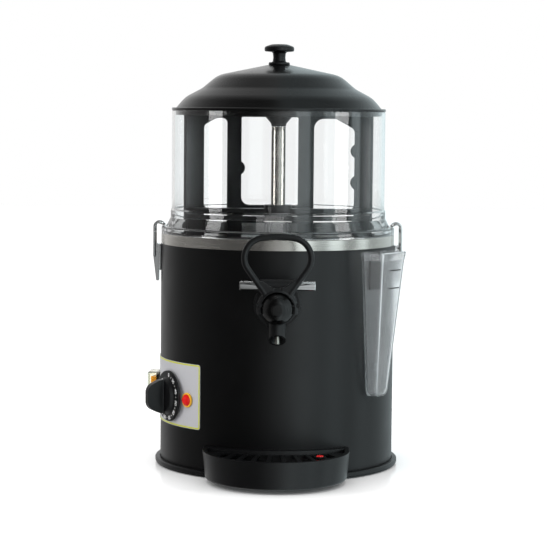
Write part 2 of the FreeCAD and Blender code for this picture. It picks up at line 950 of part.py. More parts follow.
def screw_hole(side, reach):
    """Cutting cylinder for one of the thermostat's screws."""
    return radial(
        cylinder(1.5 + d.seat_gap, reach), 0.0, d.dial_azimuth,
        d.dial_z + d.thermostat_screw_half * side,
    )


def make_water_tank():
    """Bain-marie tank whose turned-over rim is the bright band round the top."""
    body = new_body("water_tank")
    wall_inner = d.tank_radius - d.sheet_wall
    band_inner = band_radius - d.sheet_wall
    revolve(body, [
        (column_hole, d.tank_floor),
        (d.tank_radius, d.tank_floor, d.tank_round),
        (d.tank_radius, d.band_top - d.sheet_wall),
        (band_inner, d.band_top - d.sheet_wall),
        (band_inner, d.shell_top),
        (band_radius, d.shell_top),
        (band_radius, d.band_top, d.sheet_wall * 0.9),
        (wall_inner, d.band_top),
        (wall_inner, tank_floor_top, d.tank_round - d.sheet_wall),
        (column_hole, tank_floor_top),
    ])
    pocket(
        body, "XZ_Plane", [("circle", 0, d.tap_z, d.pipe_radius + d.seat_gap)], d.tank_radius * 1.1
    )
    pocket(
        body, "XZ_Plane", [("circle", 0, d.cup_pipe_z, d.cup_pipe_radius + d.seat_gap)],
        d.tank_radius * 1.1, turn=d.cup_azimuth,
    )
    legs = [
        ("circle", d.heater_leg * side, d.heater_ring, d.heater_radius + d.seat_gap)
        for side in (-1, 1)
    ]
    pocket(body, "XY_Plane", legs, d.sheet_wall, offset=d.tank_floor)


def make_inner_pan():
    """Steel pan that holds the drink, hung in the water by its rim."""
    body = new_body("inner_pan")
    wall_inner = d.pan_radius - d.pan_wall
    revolve(body, [
        (column_hole, d.pan_floor),
        (d.pan_radius, d.pan_floor, d.pan_round),
        (d.pan_radius, d.band_top),
        (d.pan_rim_radius, d.band_top),
        (d.pan_rim_radius, pan_rim_top),
        (wall_inner, pan_rim_top),
        (wall_inner, pan_floor_top, d.pan_round - d.pan_wall),
        (column_hole, pan_floor_top),
    ])
    pocket(body, "XZ_Plane", [("circle", 0, d.tap_z, d.pipe_radius + d.seat_gap)], d.pan_radius)


def make_bowl():
    """Clear bowl with a clamped flange and a thick moulded ring, and its gasket."""
    gasket = new_body("pan_gasket")
    revolve(gasket, rectangle(d.gasket_inner_radius, pan_rim_top, d.pan_rim_radius, gasket_top))
    body = new_body("bowl")
    flange_bore = d.pan_rim_radius + d.free_gap
    revolve(body, [
        (d.gasket_inner_radius, gasket_top),
        (flange_bore, gasket_top),
        (flange_bore, d.band_top),
        (d.bowl_flange_radius, d.band_top, 0.6),
        (d.bowl_flange_radius, d.bowl_flange_top, 1.5),
        (d.bowl_skirt_radius, d.bowl_flange_top, 1.2),
        (d.bowl_ring_radius, d.bowl_ring_bottom, 2.0),
        (d.bowl_ring_radius, d.bowl_ring_top, 1.0),
        (d.bowl_radius, d.bowl_ring_top + 1.5),
        (d.bowl_radius, d.bowl_top, 0.9),
        (bowl_inner, d.bowl_top, 0.9),
        (bowl_inner, d.bowl_ring_top, 6.0),
        (d.bowl_ring_radius - d.bowl_wall, d.bowl_ring_bottom, 4.0),
        (d.gasket_inner_radius, gasket_top + d.bowl_wall),
    ])


# Column and drive

def make_column():
    """Fixed tube through pan and tank, with its gasket, nuts, riser and washer."""
    tube = new_body("column_tube")
    revolve(tube, [
        (d.column_bore, d.column_bottom),
        (d.column_radius, d.column_bottom),
        (d.column_radius, collar_bottom),
        (d.column_collar_radius, collar_bottom),
        (d.column_collar_radius, collar_top),
        (d.column_radius, collar_top),
        (d.column_radius, d.column_top, 0.8),
        (d.column_bore, d.column_top),
    ])
    gasket = new_body("column_gasket")
    revolve(gasket, rectangle(column_hole, pan_floor_top, d.column_collar_radius, collar_bottom))
    nuts = []
    for seat in (d.pan_floor, d.tank_floor):
        low = seat - d.column_nut_height
        nut = hexagon(d.column_nut_radius, d.column_nut_height, z=low)
        nuts.append(cut(nut, cylinder(column_hole, d.column_nut_height, z=low)))
    group("column_nuts", nuts)
    riser = new_body("riser_sleeve")
    revolve(riser, rectangle(column_hole, collar_top, d.riser_radius, d.riser_top))
    washer = new_body("riser_washer")
    revolve(washer, rectangle(column_hole, d.riser_top, d.washer_radius, washer_top))
    bushes = []
    for low in (d.column_bottom, d.column_top - d.bush_length):
        bush = cylinder(d.column_bore - d.seat_gap / 3, d.bush_length, z=low)
        bushes.append(cut(bush, cylinder(d.shaft_radius + d.running_gap, d.bush_length, z=low)))
    group("shaft_bushes", bushes)


def make_drive():
    """Shaft inside the column and the funnel-shaped hub on top."""
    shaft = new_body("drive_shaft")
    shaft_low = d.motor_top - d.shaft_insert
    top = hub_neck_top
    revolve(shaft, [(0, shaft_low), (d.shaft_radius, shaft_low), (d.shaft_radius, top), (0, top)])
    hub = new_body("drive_hub")
    bore = d.shaft_radius + d.seat_gap / 3
    revolve(hub, [
        (bore, hub_bottom),
        (d.hub_waist_radius, hub_bottom),
        (d.hub_waist_radius + 0.6, hub_bottom + d.hub_shoulder_height * 0.55, 7.0),
        (d.hub_shoulder_radius, hub_shoulder),
        (d.hub_neck_radius, hub_shoulder),
        (d.hub_neck_radius, hub_neck_top + d.hub_top_height, 1.5),
        (bore, hub_neck_top + d.hub_top_height),
    ])


def make_mixer():
    """Half-cylinder paddle cage that hangs on the hub and turns about the column."""
    top = hub_neck_top
    inner = d.mixer_radius - d.mixer_wall
    cage = doc.addObject("PartDesign::Body", "MixerCage")
    turned = revolve(cage, rectangle(inner, d.mixer_bottom, d.mixer_radius, top), 180.0)
    turned.Reversed = False
    reach = d.mixer_radius * 1.1
    left = [
        (d.left_window_left, d.window_bottom + 6.0, d.window_round * 0.8),
        (d.left_window_left + 12.0, d.window_bottom, d.window_round * 0.8),
        (d.left_window_right, d.window_bottom, 5.0),
        (d.left_window_right, d.window_top, 6.0),
        (d.left_window_right - 12.0, d.window_top, 6.0),
        (d.left_window_left, d.window_top - 8.0, d.window_round * 0.6),
    ]
    centre = [
        (d.centre_window_left, d.centre_window_bottom, d.window_round),
        (d.centre_window_right, d.centre_window_bottom, 1.5),
        (d.centre_window_right, d.window_top + 1.5, 1.5),
        (d.centre_window_left, d.window_top + 1.5, 1.5),
    ]
    right = [
        (d.right_window_left, d.window_bottom, 5.0),
        (d.right_window_right, d.window_bottom, d.window_round * 1.2),
        (d.right_window_right, d.window_top - 12.0, d.window_round * 0.8),
        (d.right_window_right - 22.0, d.window_top, 8.0),
        (d.right_window_left, d.window_top, 12.0),
    ]
    low = [
        rectangle(edge, d.low_window_bottom, end, d.low_window_top, 6.0)
        for edge, end in (
            (d.left_window_left, d.left_window_right),
            (d.centre_window_left, d.centre_window_right),
            (d.right_window_left, d.right_window_right),
        )
    ]
    pocket(cage, "XZ_Plane", [left, centre, right, *low], reach, ahead=False)
    bumps = [
        (d.centre_window_left - d.window_bump_inset, d.centre_bump_z),
        (d.right_window_right + d.window_bump_inset, d.high_bump_z),
        (d.right_window_right + d.window_bump_inset, d.low_bump_z),
    ]
    pieces = [cage]
    ring = cut(
        cylinder(d.mixer_radius, top - d.window_bottom, z=d.window_bottom),
        cylinder(inner, top - d.window_bottom, z=d.window_bottom),
    )
    for x, z in bumps:
        rod = cylinder(d.window_bump_radius, d.mixer_radius, x=x, y=d.mixer_radius, z=z, roll=90.0)
        pieces.append(common(rod, ring))
    length = inner * 2 + d.mixer_wall
    for low_z in (hub_shoulder, d.mixer_low_bar_z):
        pieces.append(box(
            length, d.mixer_bar_width, d.mixer_bar,
            -(length / 2), -(d.mixer_bar_width / 2), low_z,
        ))
    ring_low = washer_top + d.free_gap
    pieces.append(cylinder(d.mixer_collar_radius, d.mixer_collar_height, z=ring_low))
    pieces.append(cylinder(d.hub_shoulder_radius, d.mixer_bar, z=hub_shoulder))
    whole = fuse(*pieces)
    bores = [
        cylinder(d.hub_neck_radius + d.seat_gap / 3, d.mixer_bar * 2, z=hub_shoulder),
        cylinder(column_hole + d.seat_gap, d.mixer_collar_height * 2, z=ring_low - 1.0),
    ]
    label(cut(whole, *bores), "mixer")


def make_motor():
    """Gear motor under its bridge, and the four screws."""
    low = cylinder(d.motor_radius, d.motor_top - d.gearbox_height - d.motor_bottom, z=d.motor_bottom)
    gearbox = cylinder(d.gearbox_radius, d.gearbox_height, z=d.motor_top - d.gearbox_height)
    bore_low = d.motor_top - d.shaft_insert - d.free_gap
    bores = [
        cylinder(d.shaft_radius + d.running_gap, d.shaft_insert + d.free_gap, z=bore_low)
    ]
    spots = feet_spots(45.0, 4, d.motor_screw_ring)
    for x, y in spots:
        bores.append(
            cylinder(d.motor_screw_radius + d.seat_gap / 3, 10.0, x=x, y=y, z=d.motor_top - 10.0)
        )
    label(cut(fuse(low, gearbox), *bores), "gear_motor")
    bridge = new_body("motor_bracket")
    half = d.bracket_half
    inner = half - d.bracket_wall
    foot = half + d.bracket_foot
    foot_top = plate_top + d.bracket_wall
    pad(bridge, "XZ_Plane", [[
        (-foot, plate_top), (-inner, plate_top), (-inner, d.motor_top), (inner, d.motor_top),
        (inner, plate_top), (foot, plate_top), (foot, foot_top), (half, foot_top),
        (half, bracket_top), (-half, bracket_top), (-half, foot_top), (-foot, foot_top),
    ]], d.bracket_depth, symmetric=True)
    pocket(
        bridge, "XY_Plane", [("circle", 0, 0, d.shaft_radius * 2)], d.bracket_wall,
        offset=d.motor_top,
    )
    x, y = spots[0]
    hole = pocket(
        bridge, "XY_Plane", [("circle", x, y, d.motor_screw_radius + d.seat_gap)],
        d.bracket_wall, offset=d.motor_top,
    )
    polar(bridge, [hole], 4)
    screws = []
    for x, y in spots:
        head = cylinder(d.motor_screw_radius * 2, 2.5, x=x, y=y, z=bracket_top)
        shank = cylinder(d.motor_screw_radius, 11.0, x=x, y=y, z=bracket_top - 11.0)
        screws.append(fuse(head, shank))
    group("motor_screws", screws)


def make_heater():
    """Ring heater near the tank's floor, its two legs clamped through it."""
    ring = float(d.heater_ring)
    leg = float(d.heater_leg)
    bend = float(d.heater_radius) * 2.5
    low = float(d.heater_bottom)
    level = float(d.heater_z)
    start = V(leg + bend, ring, level)
    front = V(0, -math.hypot(leg + bend, ring), level)
    end = V(-leg - bend, ring, level)
    edges = [
        Part.LineSegment(V(leg, ring, low), V(leg, ring, level - bend)).toShape(),
        Part.Arc(
            V(leg, ring, level - bend),
            V(leg + bend * (1 - math.cos(math.pi / 4)), ring, level - bend * (1 - math.sin(math.pi / 4))),
            start,
        ).toShape(),
        Part.Arc(start, front, end).toShape(),
        Part.Arc(
            end,
            V(-leg - bend * (1 - math.cos(math.pi / 4)), ring, level - bend * (1 - math.sin(math.pi / 4))),
            V(-leg, ring, level - bend),
        ).toShape(),
        Part.LineSegment(V(-leg, ring, level - bend), V(-leg, ring, low)).toShape(),
    ]
    section = Part.Wire(Part.Circle(V(leg, ring, low), V(0, 0, 1), float(d.heater_radius)).toShape())
    tube = Part.Wire(edges).makePipeShell([section], True, False)
    label(shaped("heating_element", tube), "heating_element")
    nuts = []
    for side in (-1, 1):
        x = d.heater_leg * side
        z = d.tank_floor - d.heater_nut_height
        nut = hexagon(d.heater_nut_radius, d.heater_nut_height, x=x, y=d.heater_ring, z=z)
        bore = cylinder(
            d.heater_radius + d.seat_gap, d.heater_nut_height, x=x, y=d.heater_ring, z=z
        )
        nuts.append(cut(nut, bore))
    group("heater_nuts", nuts)


# Lid

def make_lid():
    """Bell-shaped lid with a skirt inside the bowl, its knob and the knob's screw."""
    body = new_body("lid")
    edge = d.lid_radius
    seat = d.bowl_top
    rim_top = d.bowl_top + d.lid_rim
    wall = d.lid_wall
    skirt = bowl_inner - d.lid_skirt_gap
    revolve(body, [
        (d.knob_screw_radius + d.seat_gap, d.lid_crown - wall),
        (d.knob_collar_radius, d.lid_crown - wall),
        (edge - 53.4, seat + 40.5 - wall, 30.0),
        (edge - 35.4, seat + 25.3 - wall, 20.0),
        (edge - 16.7, seat + 15.0 - wall, 26.0),
        (skirt - wall, d.bowl_top + 1.5),
        (skirt - wall, d.bowl_top - d.lid_skirt_depth),
        (skirt, d.bowl_top - d.lid_skirt_depth),
        (skirt, d.bowl_top),
        (d.lid_radius, d.bowl_top, 0.8),
        (d.lid_radius, rim_top, 1.2),
        (edge - 5.1, rim_top, 1.0),
        (edge - 15.2, seat + 15.0, 28.0),
        (edge - 34.7, seat + 25.3, 22.0),
        (edge - 52.7, seat + 40.5, 30.0),
        (d.knob_collar_radius, d.lid_crown),
        (d.knob_screw_radius + d.seat_gap, d.lid_crown),
    ])
    knob = new_body("lid_knob")
    collar_z = d.lid_crown + d.knob_collar
    bore = d.knob_screw_radius + d.seat_gap / 3
    bore_top = d.lid_crown + d.knob_screw_length
    revolve(knob, [
        (bore, d.lid_crown),
        (d.knob_collar_radius, d.lid_crown, 0.8),
        (d.knob_collar_radius - 0.8, collar_z, 0.8),
        (d.knob_stem_radius, collar_z, 1.5),
        (d.knob_stem_radius, d.knob_cap_bottom, 2.0),
        (d.knob_cap_radius, d.knob_cap_bottom + 1.0, 1.5),
        (d.knob_cap_radius, d.knob_top - 3.0, 2.5),
        (9.0, d.knob_top, 12.0),
        (0, d.knob_top),
        (0, bore_top),
        (bore, bore_top),
    ])
    under = d.lid_crown - wall
    screw = fuse(
        cylinder(d.knob_screw_radius * 2, 2.4, z=under - 2.4),
        cylinder(d.knob_screw_radius, d.knob_screw_length + wall - d.free_gap, z=under),
    )
    label(screw, "knob_screw")


# Tap

def outward(thing, offset, z, x=0.0):
    """Stand a thing in front of the axis with its Z axis pointing to the front."""
    return place(thing, x=x, y=-offset, z=z, roll=90.0)


def make_outlet():
    """Pipe from pan to tap, its ring nut against the shell and the gasket behind it."""
    start = d.pan_radius - d.pan_wall
    pipe = outward(cylinder(d.pipe_radius, d.pipe_end - start), start, d.tap_z)
    bore = outward(cylinder(d.pipe_bore, d.pipe_end - start), start, d.tap_z)
    hollow = cylinder(start + d.seat_gap, d.tap_z * 2)
    label(cut(pipe, bore, hollow), "outlet_pipe")
    seat = d.shell_radius + d.free_gap
    gasket_end = seat + 1.5
    pad_solid = outward(cylinder(d.collar_radius - 1.5, gasket_end - seat), seat, d.tap_z)
    hole = outward(cylinder(d.pipe_radius + d.seat_gap, gasket_end - seat), seat, d.tap_z)
    label(cut(pad_solid, hole), "outlet_gasket")
    ring = new_body("collar_nut")
    bore_radius = d.pipe_radius + d.seat_gap
    revolve(ring, [
        (bore_radius, 0), (d.collar_radius, 0, 0.6),
        (d.collar_radius, d.collar_depth, 1.5), (bore_radius, d.collar_depth),
    ])
    notch = pocket(
        ring, "XY_Plane", [("circle", d.collar_radius + 1.2, 0, 2.2)], d.collar_depth, offset=0.0
    )
    polar(ring, [notch], 12)
    outward(ring, gasket_end, d.tap_z)


def make_tap_body():
    """Valve body: socket, barrel, chamber, spout, bonnet and the cross sleeve."""
    z = d.tap_z
    socket = d.shell_radius + d.free_gap + 1.5 + d.collar_depth + d.free_gap
    flange_end = socket + d.tap_flange_depth
    spout_length = z - d.spout_tip_z
    spout_y = -d.spout_offset
    solids = [
        outward(cylinder(d.tap_flange_radius, flange_end - socket), socket, z),
        outward(cylinder(d.barrel_radius, d.housing_start + 1.0 - flange_end), flange_end, z),
        outward(cylinder(d.housing_radius, d.cap_start - d.housing_start), d.housing_start, z),
        cylinder(d.spout_radius, spout_length, y=spout_y, z=d.spout_tip_z),
        cylinder(d.bonnet_radius, d.bonnet_top - z, y=spout_y, z=z),
        place(
            cylinder(d.sleeve_radius, d.sleeve_length),
            x=-(d.sleeve_length / 2), y=-d.cross_bar_offset, z=d.cross_bar_z, pitch=90.0,
        ),
        box(
            d.sleeve_length * 0.6, d.sleeve_radius * 1.4, d.cross_bar_z - z - 8.0,
            -(d.sleeve_length * 0.3), -(d.cross_bar_offset + d.sleeve_radius * 0.7), z + 8.0,
        ),
    ]
    chamber = d.housing_radius - d.housing_wall
    chamber_start = d.housing_start + 2.0
    drop = d.spout_front_z - d.spout_tip_z
    slope = math.degrees(math.atan2(drop, d.spout_radius * 2))
    wedge = doc.addObject("Part::Box", "SpoutSlant")
    for prop, size in (("Length", 40.0), ("Width", 40.0), ("Height", 20.0)):
        setattr(wedge, prop, size)
    wedge.Placement = FreeCAD.Placement(
        V(-20.0, float(spout_y + d.spout_radius), float(d.spout_tip_z)),
        FreeCAD.Rotation(V(1, 0, 0), 180.0 - slope),
    )
    tools = [
        outward(cylinder(d.pipe_radius + d.seat_gap, d.pipe_end - socket + d.free_gap), socket, z),
        outward(cylinder(d.pipe_bore, d.housing_start + 3.0 - socket), socket, z),
        outward(cylinder(chamber, d.cap_start - chamber_start), chamber_start, z),
        cylinder(d.spout_bore, z - d.spout_tip_z, y=spout_y, z=d.spout_tip_z),
        cylinder(
            d.bonnet_radius - d.bonnet_wall, d.bonnet_top - d.bonnet_wall - z, y=spout_y, z=z
        ),
        place(
            cylinder(d.cross_bar_radius + d.running_gap, d.sleeve_length * 1.2),
            x=-(d.sleeve_length * 0.6), y=-d.cross_bar_offset, z=d.cross_bar_z, pitch=90.0,
        ),
        wedge,
    ]
    label(cut(fuse(*solids), *tools), "tap_body")
    bar = new_body("tap_cross_bar")
    revolve(bar, [
        (0, 0), (d.cross_bar_radius, 0, 0.8),
        (d.cross_bar_radius, d.cross_bar_length, 0.8), (0, d.cross_bar_length),
    ])
    place(
        bar, x=-(d.cross_bar_length / 2), y=-d.cross_bar_offset, z=d.cross_bar_z, pitch=90.0
    )


def make_tap_cap():
    """Domed front cap with a centre boss; the lever's crank shaft runs through it."""
    body = doc.addObject("PartDesign::Body", "CapDome")
    length = d.dome_start - d.cap_start
    depth = d.dome_end - d.cap_start
    boss_top = depth + d.boss_height
    chamber = d.housing_radius - d.housing_wall
    revolve(body, [
        (chamber, 0),
        (d.housing_radius, 0),
        (d.housing_radius, length),
        (d.housing_radius * 0.93, length + (depth - length) * 0.42, 9.0),
        (d.housing_radius * 0.62, length + (depth - length) * 0.9, 8.0),
        (d.boss_radius, depth),
        (d.boss_radius, boss_top, 1.0),
        (0, boss_top),
        (0, depth - d.housing_wall),
        (chamber * 0.5, depth - d.housing_wall),
        (chamber, length + 3.0),
    ])
    outward(body, d.cap_start + d.seat_gap, d.tap_z)
    bore = place(
        cylinder(d.lever_pivot_radius + d.running_gap, d.housing_radius * 3),
        x=-(d.housing_radius * 1.5), y=-d.lever_pivot_offset, z=d.lever_pivot_z, pitch=90.0,
    )
    label(cut(body, bore), "tap_cap")


def make_tap_lever():
    """Loop handle with a web and a fork that straddles the cap."""
    y = -d.lever_pivot_offset
    half_points = [
        (d.loop_foot_half, d.loop_foot_z), (d.loop_wide_half, d.loop_wide_z),
        (d.loop_shoulder_half, d.loop_shoulder_z),
    ]
    left = [V(-float(u), float(y), float(v)) for u, v in half_points]
    right = [V(float(u), float(y), float(v)) for u, v in reversed(half_points)]
    points = [*left, V(0, float(y), float(d.loop_top_z)), *right]
    side = float(d.loop_round)
    bends = [side, side, float(d.loop_top_round), side, side]
    loop = shaped("LeverLoop", bent_tube(points, bends, d.loop_tube_radius))
    web = doc.addObject("PartDesign::Body", "LeverWeb")
    notch = d.web_notch / 2
    foot = d.loop_foot_half + 1.0
    raised = pad(web, "XZ_Plane", [[
        (-foot, d.tap_z + 8.0), (foot, d.tap_z + 8.0), (d.web_half, d.web_top - 1.5),
        (d.web_half - 3.5, d.web_top), (notch + 3.0, d.web_low, 6.0), (notch, d.web_low),
        (notch, d.tap_z + d.fork_bore - 1.0), (-notch, d.tap_z + d.fork_bore - 1.0),
        (-notch, d.web_low), (-(notch + 3.0), d.web_low, 6.0), (3.5 - d.web_half, d.web_top),
        (-d.web_half, d.web_top - 1.5),
    ]], d.web_depth)
    place(web, y=y + d.web_depth / 2)
    start = d.lever_pivot_offset - d.fork_depth / 2
    ring = outward(cylinder(d.fork_radius, d.fork_depth), start, d.tap_z)
    space = outward(cylinder(d.fork_bore, d.fork_depth * 2), start - d.fork_depth / 2, d.tap_z)
    below = box(
        d.fork_radius * 2.2, d.fork_depth * 1.5, d.fork_radius,
        -(d.fork_radius * 1.1), y - d.fork_depth * 0.75, d.tap_z - d.fork_radius - 5.5,
    )
    pins = place(
        cylinder(d.lever_pivot_radius + d.running_gap / 2, d.fork_radius * 3),
        x=-(d.fork_radius * 1.5), y=y, z=d.lever_pivot_z, pitch=90.0,
    )
    label(cut(fuse(loop, web, ring), space, below, pins), "tap_lever")


def make_valve():
    """Crank shaft, valve rod, seal and return spring."""
    y = -d.lever_pivot_offset
    z = d.lever_pivot_z
    shaft_half = d.fork_radius - d.seat_gap
    radius = d.lever_pivot_radius
    shaft = place(
        cylinder(radius, shaft_half * 2), x=-shaft_half, y=y, z=z, pitch=90.0,
    )
    reach = d.lever_pivot_offset - d.spout_offset
    arm = box(d.crank_arm, reach, radius * 1.4, -(d.crank_arm / 2), y, z - radius * 0.7)
    pin_length = d.valve_head_radius * 1.7
    pin = place(
        cylinder(d.crank_pin_radius, pin_length),
        x=-(pin_length / 2), y=-d.spout_offset, z=z, pitch=90.0,
    )
    label(fuse(shaft, arm, pin), "tap_crank")
    spout_y = -d.spout_offset
    head_low = d.valve_head_top - 1.6
    fork_low = z - d.crank_pin_radius - 4.0
    seal_low = d.valve_seal_top - d.valve_seal_height
    fork = box(
        d.valve_head_radius * 1.5, d.valve_head_radius * 1.3, head_low - fork_low,
        -(d.valve_head_radius * 0.75), spout_y - d.valve_head_radius * 0.65, fork_low,
    )
    solids = [
        cylinder(d.valve_head_radius, d.valve_head_top - head_low, y=spout_y, z=head_low),
        fork,
        cylinder(d.valve_rod_radius, fork_low - d.spout_tip_z - 3.0, y=spout_y, z=d.spout_tip_z + 3.0),
    ]
    gap = d.crank_arm / 2 + d.free_gap
    tools = [
        box(
            gap * 2, d.valve_head_radius * 3, head_low - fork_low - 1.5,
            -gap, spout_y - d.valve_head_radius * 1.5, fork_low + 1.5,
        ),
        box(
            d.valve_head_radius * 3, d.crank_pin_radius * 2 + d.crank_sweep + d.free_gap,
            (d.crank_pin_radius + d.crank_slack) * 2,
            -(d.valve_head_radius * 1.5), spout_y - d.crank_pin_radius - d.crank_sweep,
            z - d.crank_pin_radius - d.crank_slack,
        ),
    ]
    label(cut(fuse(*solids), *tools), "tap_plunger")
    seal = cylinder(
        d.valve_seal_radius - d.running_gap, d.valve_seal_height, y=spout_y, z=seal_low
    )
    bore = cylinder(
        d.valve_rod_radius + d.seat_gap / 3, d.valve_seal_height, y=spout_y, z=seal_low
    )
    label(cut(seal, bore), "plunger_seal")
    spring_top = float(d.bonnet_top - d.bonnet_wall)
    spring_low = float(d.valve_head_top)
    wire = float(d.spring_wire) / 2
    height = spring_top - spring_low - wire * 2
    coil_radius = float(d.spring_radius) - wire
    helix = Part.makeHelix(height / float(d.spring_turns), height, coil_radius)
    section = Part.Wire(Part.Circle(V(coil_radius, 0, 0), V(0, 1, 0), wire).toShape())
    spring = shaped("SpringWire", Part.Wire(helix).makePipeShell([section], True, True))
    place(spring, y=spout_y, z=d.valve_head_top + d.spring_wire / 2)
    label(spring, "plunger_spring")


# Controls

def make_control_plate():
    """Curved printed plate behind the controls."""
    body = doc.addObject("PartDesign::Body", "ControlPlateSheet")
    revolve(body, rectangle(panel_inner, d.panel_low, panel_outer, d.panel_high), d.panel_sweep)
    turned = body.Tip
    turned.Reversed = True
    place(body, yaw=d.panel_azimuth - 90.0)
    reach = panel_outer + 1.0
    tools = [
        radial(cylinder(d.spindle_radius * 2, reach), 0.0, d.dial_azimuth, d.dial_z),
        radial(cylinder(lamp_body_radius + d.seat_gap, reach), 0.0, d.lamp_azimuth, d.lamp_z),
        switch_opening(reach),
        screw_hole(-1, reach),
        screw_hole(1, reach),
    ]
    label(cut(body, *tools), "control_plate")


def make_thermostat():
    """Thermostat behind the shell, its screws and the winged dial."""
    azimuth = d.dial_azimuth
    back = shell_inner - d.free_gap * 4 - d.thermostat_depth
    case = doc.addObject("Part::Box", "ThermostatCase")
    bind(case, "Length", d.thermostat_width)
    bind(case, "Width", d.thermostat_height)
    bind(case, "Height", d.thermostat_depth)
    half = d.thermostat_width / 2
    place(
        case,
        x=back * sine(azimuth) - half * cosine(azimuth),
        y=-(back * cosine(azimuth)) - half * sine(azimuth),
        z=d.dial_z - d.thermostat_height / 2,
        yaw=azimuth,
        roll=90.0,
    )
    front = back + d.thermostat_depth
    spindle = radial(
        cylinder(d.spindle_radius, d.spindle_end - front), front, azimuth, d.dial_z
    )
    holes = []
    screws = []
    head_seat = panel_outer
    for side in (-1, 1):
        z = d.dial_z + d.thermostat_screw_half * side
        holes.append(radial(cylinder(1.5, 6.0), front - 6.0, azimuth, z))
        head = radial(cylinder(2.6, 1.2), head_seat, azimuth, z)
        shank = radial(cylinder(1.45, head_seat + 0.5 - (front - 5.5)), front - 5.5, azimuth, z)
        screws.append(fuse(head, shank))
    label(cut(fuse(case, spindle), *holes), "thermostat_body")
    group("thermostat_screws", screws)
    dial = doc.addObject("PartDesign::Body", "DialTurned")
    skirt = d.dial_skirt
    boss_top = skirt + d.dial_boss
    revolve(dial, [
        (0, 0), (d.dial_radius, 0, 0.6), (d.dial_radius, skirt, 1.4),
        (d.dial_boss_radius + 0.8, skirt + 0.6), (d.dial_boss_radius - 1.5, boss_top, 1.5),
        (0, boss_top),
    ])
    radial(dial, d.dial_back, azimuth, d.dial_z)
    wing = doc.addObject("PartDesign::Body", "DialWing")
    crest = boss_top + d.dial_wing
    half = d.dial_wing_half
    pad(wing, "YZ_Plane", [[
        (-half, boss_top - 3.0), (half, boss_top - 3.0), (half * 0.95, boss_top + 5.0, 5.0),
        (half * 0.62, crest, 11.0), (-(half * 0.62), crest, 11.0), (-(half * 0.95), boss_top + 5.0, 5.0),
    ]], d.dial_wing_width, symmetric=True)
    radial(wing, d.dial_back, azimuth, d.dial_z)
    bore = radial(
        cylinder(d.spindle_radius + d.running_gap, d.spindle_end + d.free_gap), 0.0, azimuth, d.dial_z
    )
    label(cut(fuse(dial, wing), bore), "thermostat_knob")


def make_lamp():
    """Indicator lamp: ring and body, and a domed lens in it."""
    ring = new_body("lamp_bezel")
    seat = d.lamp_ring
    revolve(ring, [
        (lamp_body_radius - 1.2, -d.lamp_depth), (lamp_body_radius, -d.lamp_depth),
        (lamp_body_radius, 0), (d.lamp_ring_radius, 0), (d.lamp_ring_radius, seat, 0.8),
        (d.lamp_radius, seat), (d.lamp_radius, seat * 0.4), (lamp_body_radius - 1.2, seat * 0.4),
    ])
    radial(ring, panel_outer + d.seat_gap, d.lamp_azimuth, d.lamp_z)
    lens = new_body("lamp_lens")
    radius = d.lamp_radius - d.seat_gap
    revolve(lens, [
        (0, seat * 0.4), (radius, seat * 0.4), (radius, seat + 0.4, 0.5),
        (radius * 0.55, seat + d.lamp_dome, 4.0), (0, seat + d.lamp_dome),
    ])
    radial(lens, panel_outer + d.seat_gap, d.lamp_azimuth, d.lamp_z)


def make_switch():
    """Rocker switch: frame, rocker and clear splash cover."""
    wide = d.switch_width
    tall = d.switch_height
    border = d.switch_border
    gap = d.seat_gap
    seat = d.shell_radius + d.seat_gap + d.panel_thickness + 1.0
    inner_w = wide / 2 - border
    inner_h = tall / 2 - border
    frame = new_body("switch_frame")
    pad(frame, "XY_Plane", [rectangle(-(wide / 2), -(tall / 2), wide / 2, tall / 2, 2.0)],
        d.switch_flange)
    pad(frame, "XY_Plane", [rectangle(-inner_w, -inner_h, inner_w, inner_h)],
        d.switch_depth, offset=-d.switch_depth)
    wall = 1.2
    pocket(
        frame, "XY_Plane",
        [rectangle(wall - inner_w, wall - inner_h, inner_w - wall, inner_h - wall)],
        d.switch_depth - wall + d.switch_flange, offset=wall - d.switch_depth,
    )
    radial(frame, seat, d.switch_azimuth, d.switch_z)
    rocker = new_body("switch_rocker")
    half = inner_w - wall - d.rocker_tilt_gap
    drop = 2.5
    high = d.switch_flange + 6.4
    pad(rocker, "XZ_Plane", [[
        (-half, d.switch_flange - 1.5), (-(half * 0.5), -drop), (half * 0.5, -drop),
        (half, d.switch_flange - 1.5), (half - 0.6, high + 0.4, 0.8),
        (0, high - 1.8, 20.0), (0.6 - half, high - 2.2, 0.8),
    ]], (inner_h - wall - 0.4) * 2, symmetric=True)
    radial(rocker, seat, d.switch_azimuth, d.switch_z)
    cover = new_body("switch_cover")
    top = d.cover_top - seat
    cover_wall = d.cover_wall
    grow = cover_wall + gap
    cover_outline = [
        rectangle(-(wide / 2 + grow), -(tall / 2 + grow), wide / 2 + grow, tall / 2 + grow, 3.0)
    ]
    pad(cover, "XY_Plane", cover_outline, top)
    pocket(
        cover, "XY_Plane",
        [rectangle(-(wide / 2 + gap), -(tall / 2 + gap), wide / 2 + gap, tall / 2 + gap, 2.0)],
        top - cover_wall, offset=0.0,
    )
    radial(cover, seat, d.switch_azimuth, d.switch_z)


# Water level cup

